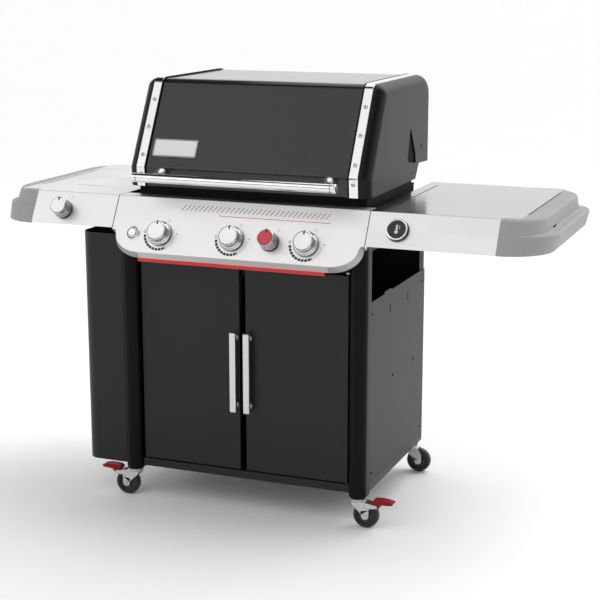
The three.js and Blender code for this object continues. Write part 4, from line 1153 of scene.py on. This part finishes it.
def tank_shroud():
    """Bent sheet round the gas cylinder's place, with a hem along its top."""
    low, high = box("tank_shroud")
    rear = low.y + SHROUD_DEEP
    bend = [(high.x, low.y), (low.x, low.y), (low.x, rear)]
    path = fillet(bend + [(low.x + 9, rear)], [0, SHROUD_R, 3, 0], 12)
    bm = prism_mesh(sheet(path, 1.8), low.z, high.z)
    hem = offset(fillet(bend, [0, SHROUD_R, 0], 12), 2.0)
    prism(bm, sheet(hem, 2.6), high.z - 11, high.z - 0.6)
    stand_in("tank_shroud", bm, PAINT)


def cylinder_screen():
    """Dark heat screen above the gas cylinder, between the shroud and the left table."""
    low, high = box("tank_shroud")
    y = low.y + SHROUD_DEEP - 4
    bm = slab_mesh((low.x + 6, y, high.z - 110), (high.x - 4, y + 2, FACE_FOOT_Z + 60), 0.5)
    add_piece("cylinder_screen", bm, "cart", [FRAME_PAINT])


def hinge_lugs():
    """Plates that stand up from the cookbox beside the lid's hinge."""
    pivot = joint_point("lid_hinge")
    outline = fillet([(pivot.y + y, pivot.z + z) for y, z in LUG], 2, 4, closed=True)
    for side, word in WORD.items():
        ends = sorted((CART_X + side * (BOX_HALF - 3.6), CART_X + side * (BOX_HALF - 0.6)))
        bm = prism_mesh(outline, *ends, "x")
        add_piece("hinge_lug_" + word, bm, "cart", [BLACK_CASTING])


def fasteners():
    """Small screws on the cabinet's sides and back."""
    low, high = box("side_panel_right")
    left = box("side_panel_left")[0].x
    back = box("rear_frame")[1].y
    bm = bmesh.new()
    for z in (low.z + 28, high.z - 42):
        for y in (low.y + 14, high.y - 24):
            screw(bm, spot((high.x, y, z), 1, "Y"), 4.2, 2.2)
            screw(bm, spot((left, y, z), -1, "Y"), 4.2, 2.2)
    for x in (-360, -120, 120, 360):
        for z in (150, 460, 800):
            screw(bm, spot((CART_X + x, back, z), -1, "X"), 4.2, 2.2)
    add_piece("cabinet_screws", bm, "cart", [FRAME_PAINT])


# ---- casters ----
CORNERS = [("front_" + word, side, True) for side, word in WORD.items()]  # name, side, and whether it brakes
CORNERS += [("rear_" + word, side, False) for side, word in WORD.items()]
TRAIL = 27.0
WHEEL_R = 38.0
BRAKE_X, BRAKE_Z = 60.0, 70.0  # a lever's pivot in its caster's frame


def caster_place(where, side):
    """A caster's own frame: x points along its trail, z up from the ground under the swivel."""
    at = joint_point("caster_" + where + "_swivel")
    return spot((at.x, at.y, 0), 0 if side > 0 else 2, "Z")


def fork(where, side, braked):
    """Fork with its swivel race, two cheeks and the bridge between them; a braked one has longer cheeks."""
    race = [(0, 72), (15, 72), (17, 73.5), (18.5, 76), (21.5, 77.2), (22.5, 78.5), (22.5, 80.5), (20.5, 81.4)]
    race += [(20.5, 82.6), (22, 83.4), (22, 85.6), (20, 86.8), (12, 87.2), (12, 87.7), (0, 87.7)]
    bm = bmesh.new()
    lathe(bm, race, steps=40)
    arm = [((62, 64.5), 3), ((65.5, 69), 2.5), ((62, 73), 3)] if braked else []
    cheek = [
        ((-15, 78), 3), ((-14, 70), 6), ((TRAIL - 11.5, 42), 10), ((TRAIL - 11.5, 26.5), 11.3),
        ((TRAIL + 11.5, 26.5), 11.3), ((TRAIL + 11.5, 61), 5), *arm, ((26, 78), 3),
    ]
    outline = fillet([point for point, _ in cheek], [radius for _, radius in cheek], 5, closed=True)
    nut = [(0, 0), (6.4, 0), (6.4, 2.4), (5.6, 3.4), (2.5, 3.6), (2.2, 2.8), (0, 2.8)]
    for sign in (-1, 1):
        inner, outer = sorted((sign * 14.6, sign * 17.0))
        part = bmesh.new()
        stack(part, outline, ((0.6, inner), (0, inner + 0.6), (0, outer - 0.6), (0.6, outer)), "y")
        merge_into(bm, part)
        lathe(bm, nut, spot((TRAIL, sign * 16.9, WHEEL_R), -sign, "X"), 24)
    merge_into(bm, slab_mesh((-15, -16.9, 75.5), (26, 16.9, 78.5)))
    rod(bm, 4, (TRAIL, -16, WHEEL_R), (TRAIL, 16, WHEEL_R))
    rod(bm, 5.6, (0, 0, 86), (0, 0, 104))
    if braked:
        rod(bm, 3, (BRAKE_X, -17.4, BRAKE_Z), (BRAKE_X, 17.4, BRAKE_Z), 16)
    bm.transform(caster_place(where, side))
    stand_in("caster_fork_" + where, bm, ZINC)


def wheel(where, side):
    """Rubber tyre on a hub with five ribs on each side."""
    tyre, hub = range(2)
    half = 12.5
    near = [
        (4.4, half, hub), (9, half, hub), (10.5, half - 1, hub), (11.5, half - 5, hub), (14, half - 6, hub),
        (24, half - 5.4, hub), (26, half - 3, hub), (27, half - 0.6, tyre), (28.4, half, tyre),
        (32.5, half, tyre), (35.6, half - 1.2, tyre), (37.4, half - 3.8, tyre), (WHEEL_R, half - 7, tyre),
    ]
    far = [(r, -z, made) for r, z, made in reversed(near)]
    bm = bmesh.new()
    turned(bm, near + far + near[:1], steps=56)
    for i in range(5):
        for level in (half - 6.4, -half + 3.4):
            rib = slab_mesh((10.5, -1.3, level), (26, 1.3, level + 3), 0.8)
            rib.transform(Matrix.Rotation(2 * math.pi * i / 5 + 0.3, 4, "Z"))
            merge_into(bm, rib, hub)
    bm.transform(caster_place(where, side) @ spot((TRAIL, 0, WHEEL_R), 1, "X"))
    stand_in("wheel_" + where, bm, TYRE, HUB)


def brake_lever(where, side):
    """Foot lever with a flat toe, hooked over the fork's cross pin."""
    outline = [(-11, 7.5), (-13, 12), (-8, 17.5), (8, 19.5), (32, 18.6), (50, 14.4), (50.5, 11.5), (42, 8.5)]
    outline += [(16, 7), (8, -3.6), (-3.6, -3.6), (-4, 7)]
    outline = fillet(outline, [2, 3, 5, 20, 12, 1.6, 2, 8, 8, 4, 3, 3], 4, closed=True)
    section = ((0.99, -13), (0.315, -12.3), (0, -10.6), (0, 10.6), (0.315, 12.3), (0.99, 13))
    bm = bmesh.new()
    stack(bm, outline, section, "y")
    bm.transform(caster_place(where, side) @ Matrix.Translation((BRAKE_X, 0, BRAKE_Z)))
    stand_in("brake_lever_" + where, bm, BRAKE_RED)


# ---- what the cookbox holds ----
PORT_PITCH = 14


def burner(node):
    """Tube burner with two rows of ports, drawn as dark discs of painted shade where the holes would be, and a
    crimped end.
    """
    low, high = box(node)
    x, z = (low.x + high.x) / 2, (low.z + high.z) / 2
    long = high.y - low.y
    profile = [(0, 0), (9.5, 0), (12, 3), (12, long - 16), (10, long - 12), (8, long - 3)]
    profile += [(6, long), (0, long)]
    bm = bmesh.new()
    lathe(bm, profile, spot((x, low.y, z), -1, "X"), 28)
    for i in range(int((long - 60) / PORT_PITCH)):
        for side in (-1, 1):
            # painted shade: each port is a small dark disc, not a hole
            place = Matrix.Translation((x + side * 9.6, low.y + 30 + PORT_PITCH * i, z + 7.2))
            lathe(bm, [(0, -1), (1.6, -1), (1.6, 0.5), (0, 0.5)], place, 8, [1, 1, 1])
    stand_in(node, bm, STEEL_DARK, GASKET)


def knob_stem(node):
    """Round stem that steps down to its knob's bore."""
    stem = [(0, -41), (3.6, -41), (4, -40.4), (4, 10), (3.5, 10.6), (3.5, 19.2), (3.1, 19.6), (0, 19.6)]
    bm = bmesh.new()
    lathe(bm, stem, knob_place(node.replace("stem", "knob") + "_turn"), 24)
    stand_in(node, bm, BRUSHED)


def refined_nodes():
    """CAD nodes whose shape is right, with rounded edges and their own material."""
    plans = {
        "rear_frame": (0.9, FRAME_PAINT), "base_shelf": (1.1, PAINT), "side_panel_left": (0.7, SIDE_PAINT),
        "side_panel_right": (0.7, SIDE_PAINT), "header_rail": (0.8, FRAME_PAINT), "tank_hanger": (0.8, ZINC),
        "cookbox": (1.2, BLACK_CASTING), "cooking_grate_left": (1.4, CAST_IRON),
        "cooking_grate_right": (1.4, CAST_IRON), "heat_deflector_1": (0.5, CAST_IRON),
        "heat_deflector_2": (0.5, CAST_IRON), "heat_deflector_3": (0.5, CAST_IRON),
        "warming_rack": (0.4, CHROME), "gas_manifold": (1.2, BRUSHED), "grease_tray": (0.5, BRUSHED),
        "side_burner_bowl": (0.9, BRUSHED), "side_burner_grate": (1.3, CAST_IRON),
    }
    for node, (width, made) in plans.items():
        refine(node, width, made)


# ---- studio ----
WORLD_LEVEL = 1.0
SKY_STOPS = [(-1.0, 0.9), (-0.05, 0.96), (0.1, 1.0), (1.0, 1.12)]  # height of a direction, and its light
# direction, half width in degrees and the share of light kept by the dark and bright cards
CARDS = [
    ((0.72, -0.42, 0.55), 40, 0.1),
    ((-0.357, -0.06, 0.93), 27, 0.03),
    ((-0.32, 0.36, 0.87), 26, 0.03),
    ((-0.357, -0.92, 0.13), 13, 0.3),
    ((0.45, 0.55, 0.7), 42, 2.3),
]
CARD_CORE = 0.45  # part of a card's half width that has its full effect
# name, place, size and power
LAMPS = [
    ("lamp_front", (-2.6, -4.6, 3.4), 3.0, 14),
    ("lamp_right", (4.4, -1.2, 2.6), 2.6, 6),
    ("lamp_top", (0.2, 1.2, 4.2), 3.2, 40),
]
LAMP_AIM = Vector((0, 0, 0.7))
FLOOR_HALF = 160.0
SENSOR_WIDTH, FOCAL_LENGTH = 36.0, 87.894
CAMERA_AT = (1.6368, -4.0648, 1.5948)
CAMERA_DOWN, CAMERA_ROUND = 12.9, 21.5  # degrees below the level, and round from the front


def card_share(tree, direction, along, edge, core):
    """Factor on the surround's light: 1 outside the card round a direction, and core in its middle."""
    inputs = {0: direction, 1: Vector(along).normalized()}
    near = add_node(tree, "VectorMath", inputs, operation="DOT_PRODUCT").outputs["Value"]
    outside, inside = math.cos(math.radians(edge)), math.cos(math.radians(edge * CARD_CORE))
    return map_range(tree, near, outside, inside, 1.0, core, interpolation_type="SMOOTHSTEP")


def studio_world():
    """Bright surround with soft dark and bright cards, which give the metal its stripes."""
    world = bpy.data.worlds.new("studio")
    bpy.context.scene.world = world
    world.use_nodes = True
    tree = world.node_tree
    direction = add_node(tree, "TexCoord", {}).outputs["Generated"]
    upward = add_node(tree, "SeparateXYZ", {"Vector": direction}).outputs["Z"]
    ramp = add_node(tree, "ValToRGB", {"Fac": map_range(tree, upward, -1.0, 1.0, 0.0, 1.0)})
    elements = ramp.color_ramp.elements
    while len(elements) < len(SKY_STOPS):
        elements.new(0.5)
    for element, (z, level) in zip(elements, SKY_STOPS):
        element.position = (z + 1) / 2
        element.color = (level, level, level, 1)
    level = ramp.outputs["Color"]
    for along, edge, core in CARDS:
        inputs = {0: level, "Scale": card_share(tree, direction, along, edge, core)}
        level = add_node(tree, "VectorMath", inputs, operation="SCALE").outputs["Vector"]
    feed(tree, tree.nodes["Background"], {"Strength": WORLD_LEVEL, "Color": level})


def studio():
    """Pale floor, surround and three soft lamps."""
    bm = bmesh.new()
    corners = rectangle(-FLOOR_HALF, FLOOR_HALF, -FLOOR_HALF, FLOOR_HALF)
    bm.faces.new([bm.verts.new((x, y, 0)) for x, y in corners])
    floor = linked("floor", mesh_data("floor", bm))
    floor.data.materials.append(finish("floor", 0.985, 0.7, tone=0.01, tone_scale=1, bump=0.02))
    studio_world()
    for name, at, size, power in LAMPS:
        data = bpy.data.lights.new(name, "AREA")
        data.size = size
        data.energy = power
        lamp = linked(name, data)
        lamp.location = at
        lamp.rotation_euler = (LAMP_AIM - Vector(at)).to_track_quat("-Z", "Y").to_euler()
    bpy.context.scene.view_settings.view_transform = "Standard"


def camera():
    """Long-lens camera that looks slightly down, from the front and to the right."""
    data = bpy.data.cameras.new("camera")
    data.sensor_width = SENSOR_WIDTH
    data.lens = FOCAL_LENGTH
    made = linked("camera", data)
    made.location = CAMERA_AT
    made.rotation_euler = (math.radians(90 - CAMERA_DOWN), 0, math.radians(CAMERA_ROUND))
    bpy.context.scene.camera = made


# ---- the whole ----
camera()
studio()
lid_shell()
for side in (-1, 1):
    lid_casting(side)
    vent_shade_plate(side)
    trim_band(side)
    post(side)
    end_cap(side)
lid_handle()
badge()
lid_hinges()
control_panel()
panel_seams()
accent_strip()
hatch()
bracket()
dial_marks()
for number in (1, 2, 3):
    skirted_knob(f"burner_knob_{number}")
    knob_stem(f"burner_stem_{number}")
    burner(f"burner_{number}")
burner("sear_burner")
plain_knob("sear_knob", 25, 40, RED_FACE)
plain_knob("side_burner_knob", 25.5, 41, KNOB_FACE)
knob_stem("sear_stem")
knob_stem("side_burner_stem")
igniter()
display()
right_table()
left_table()
front_plate()
side_burner_lid()
for side in (-1, 1):
    door(side)
door_pins()
tank_shroud()
cylinder_screen()
hinge_lugs()
fasteners()
for where, side, braked in CORNERS:
    fork(where, side, braked)
    wheel(where, side)
    if braked:
        brake_lever(where, side)
refined_nodes()
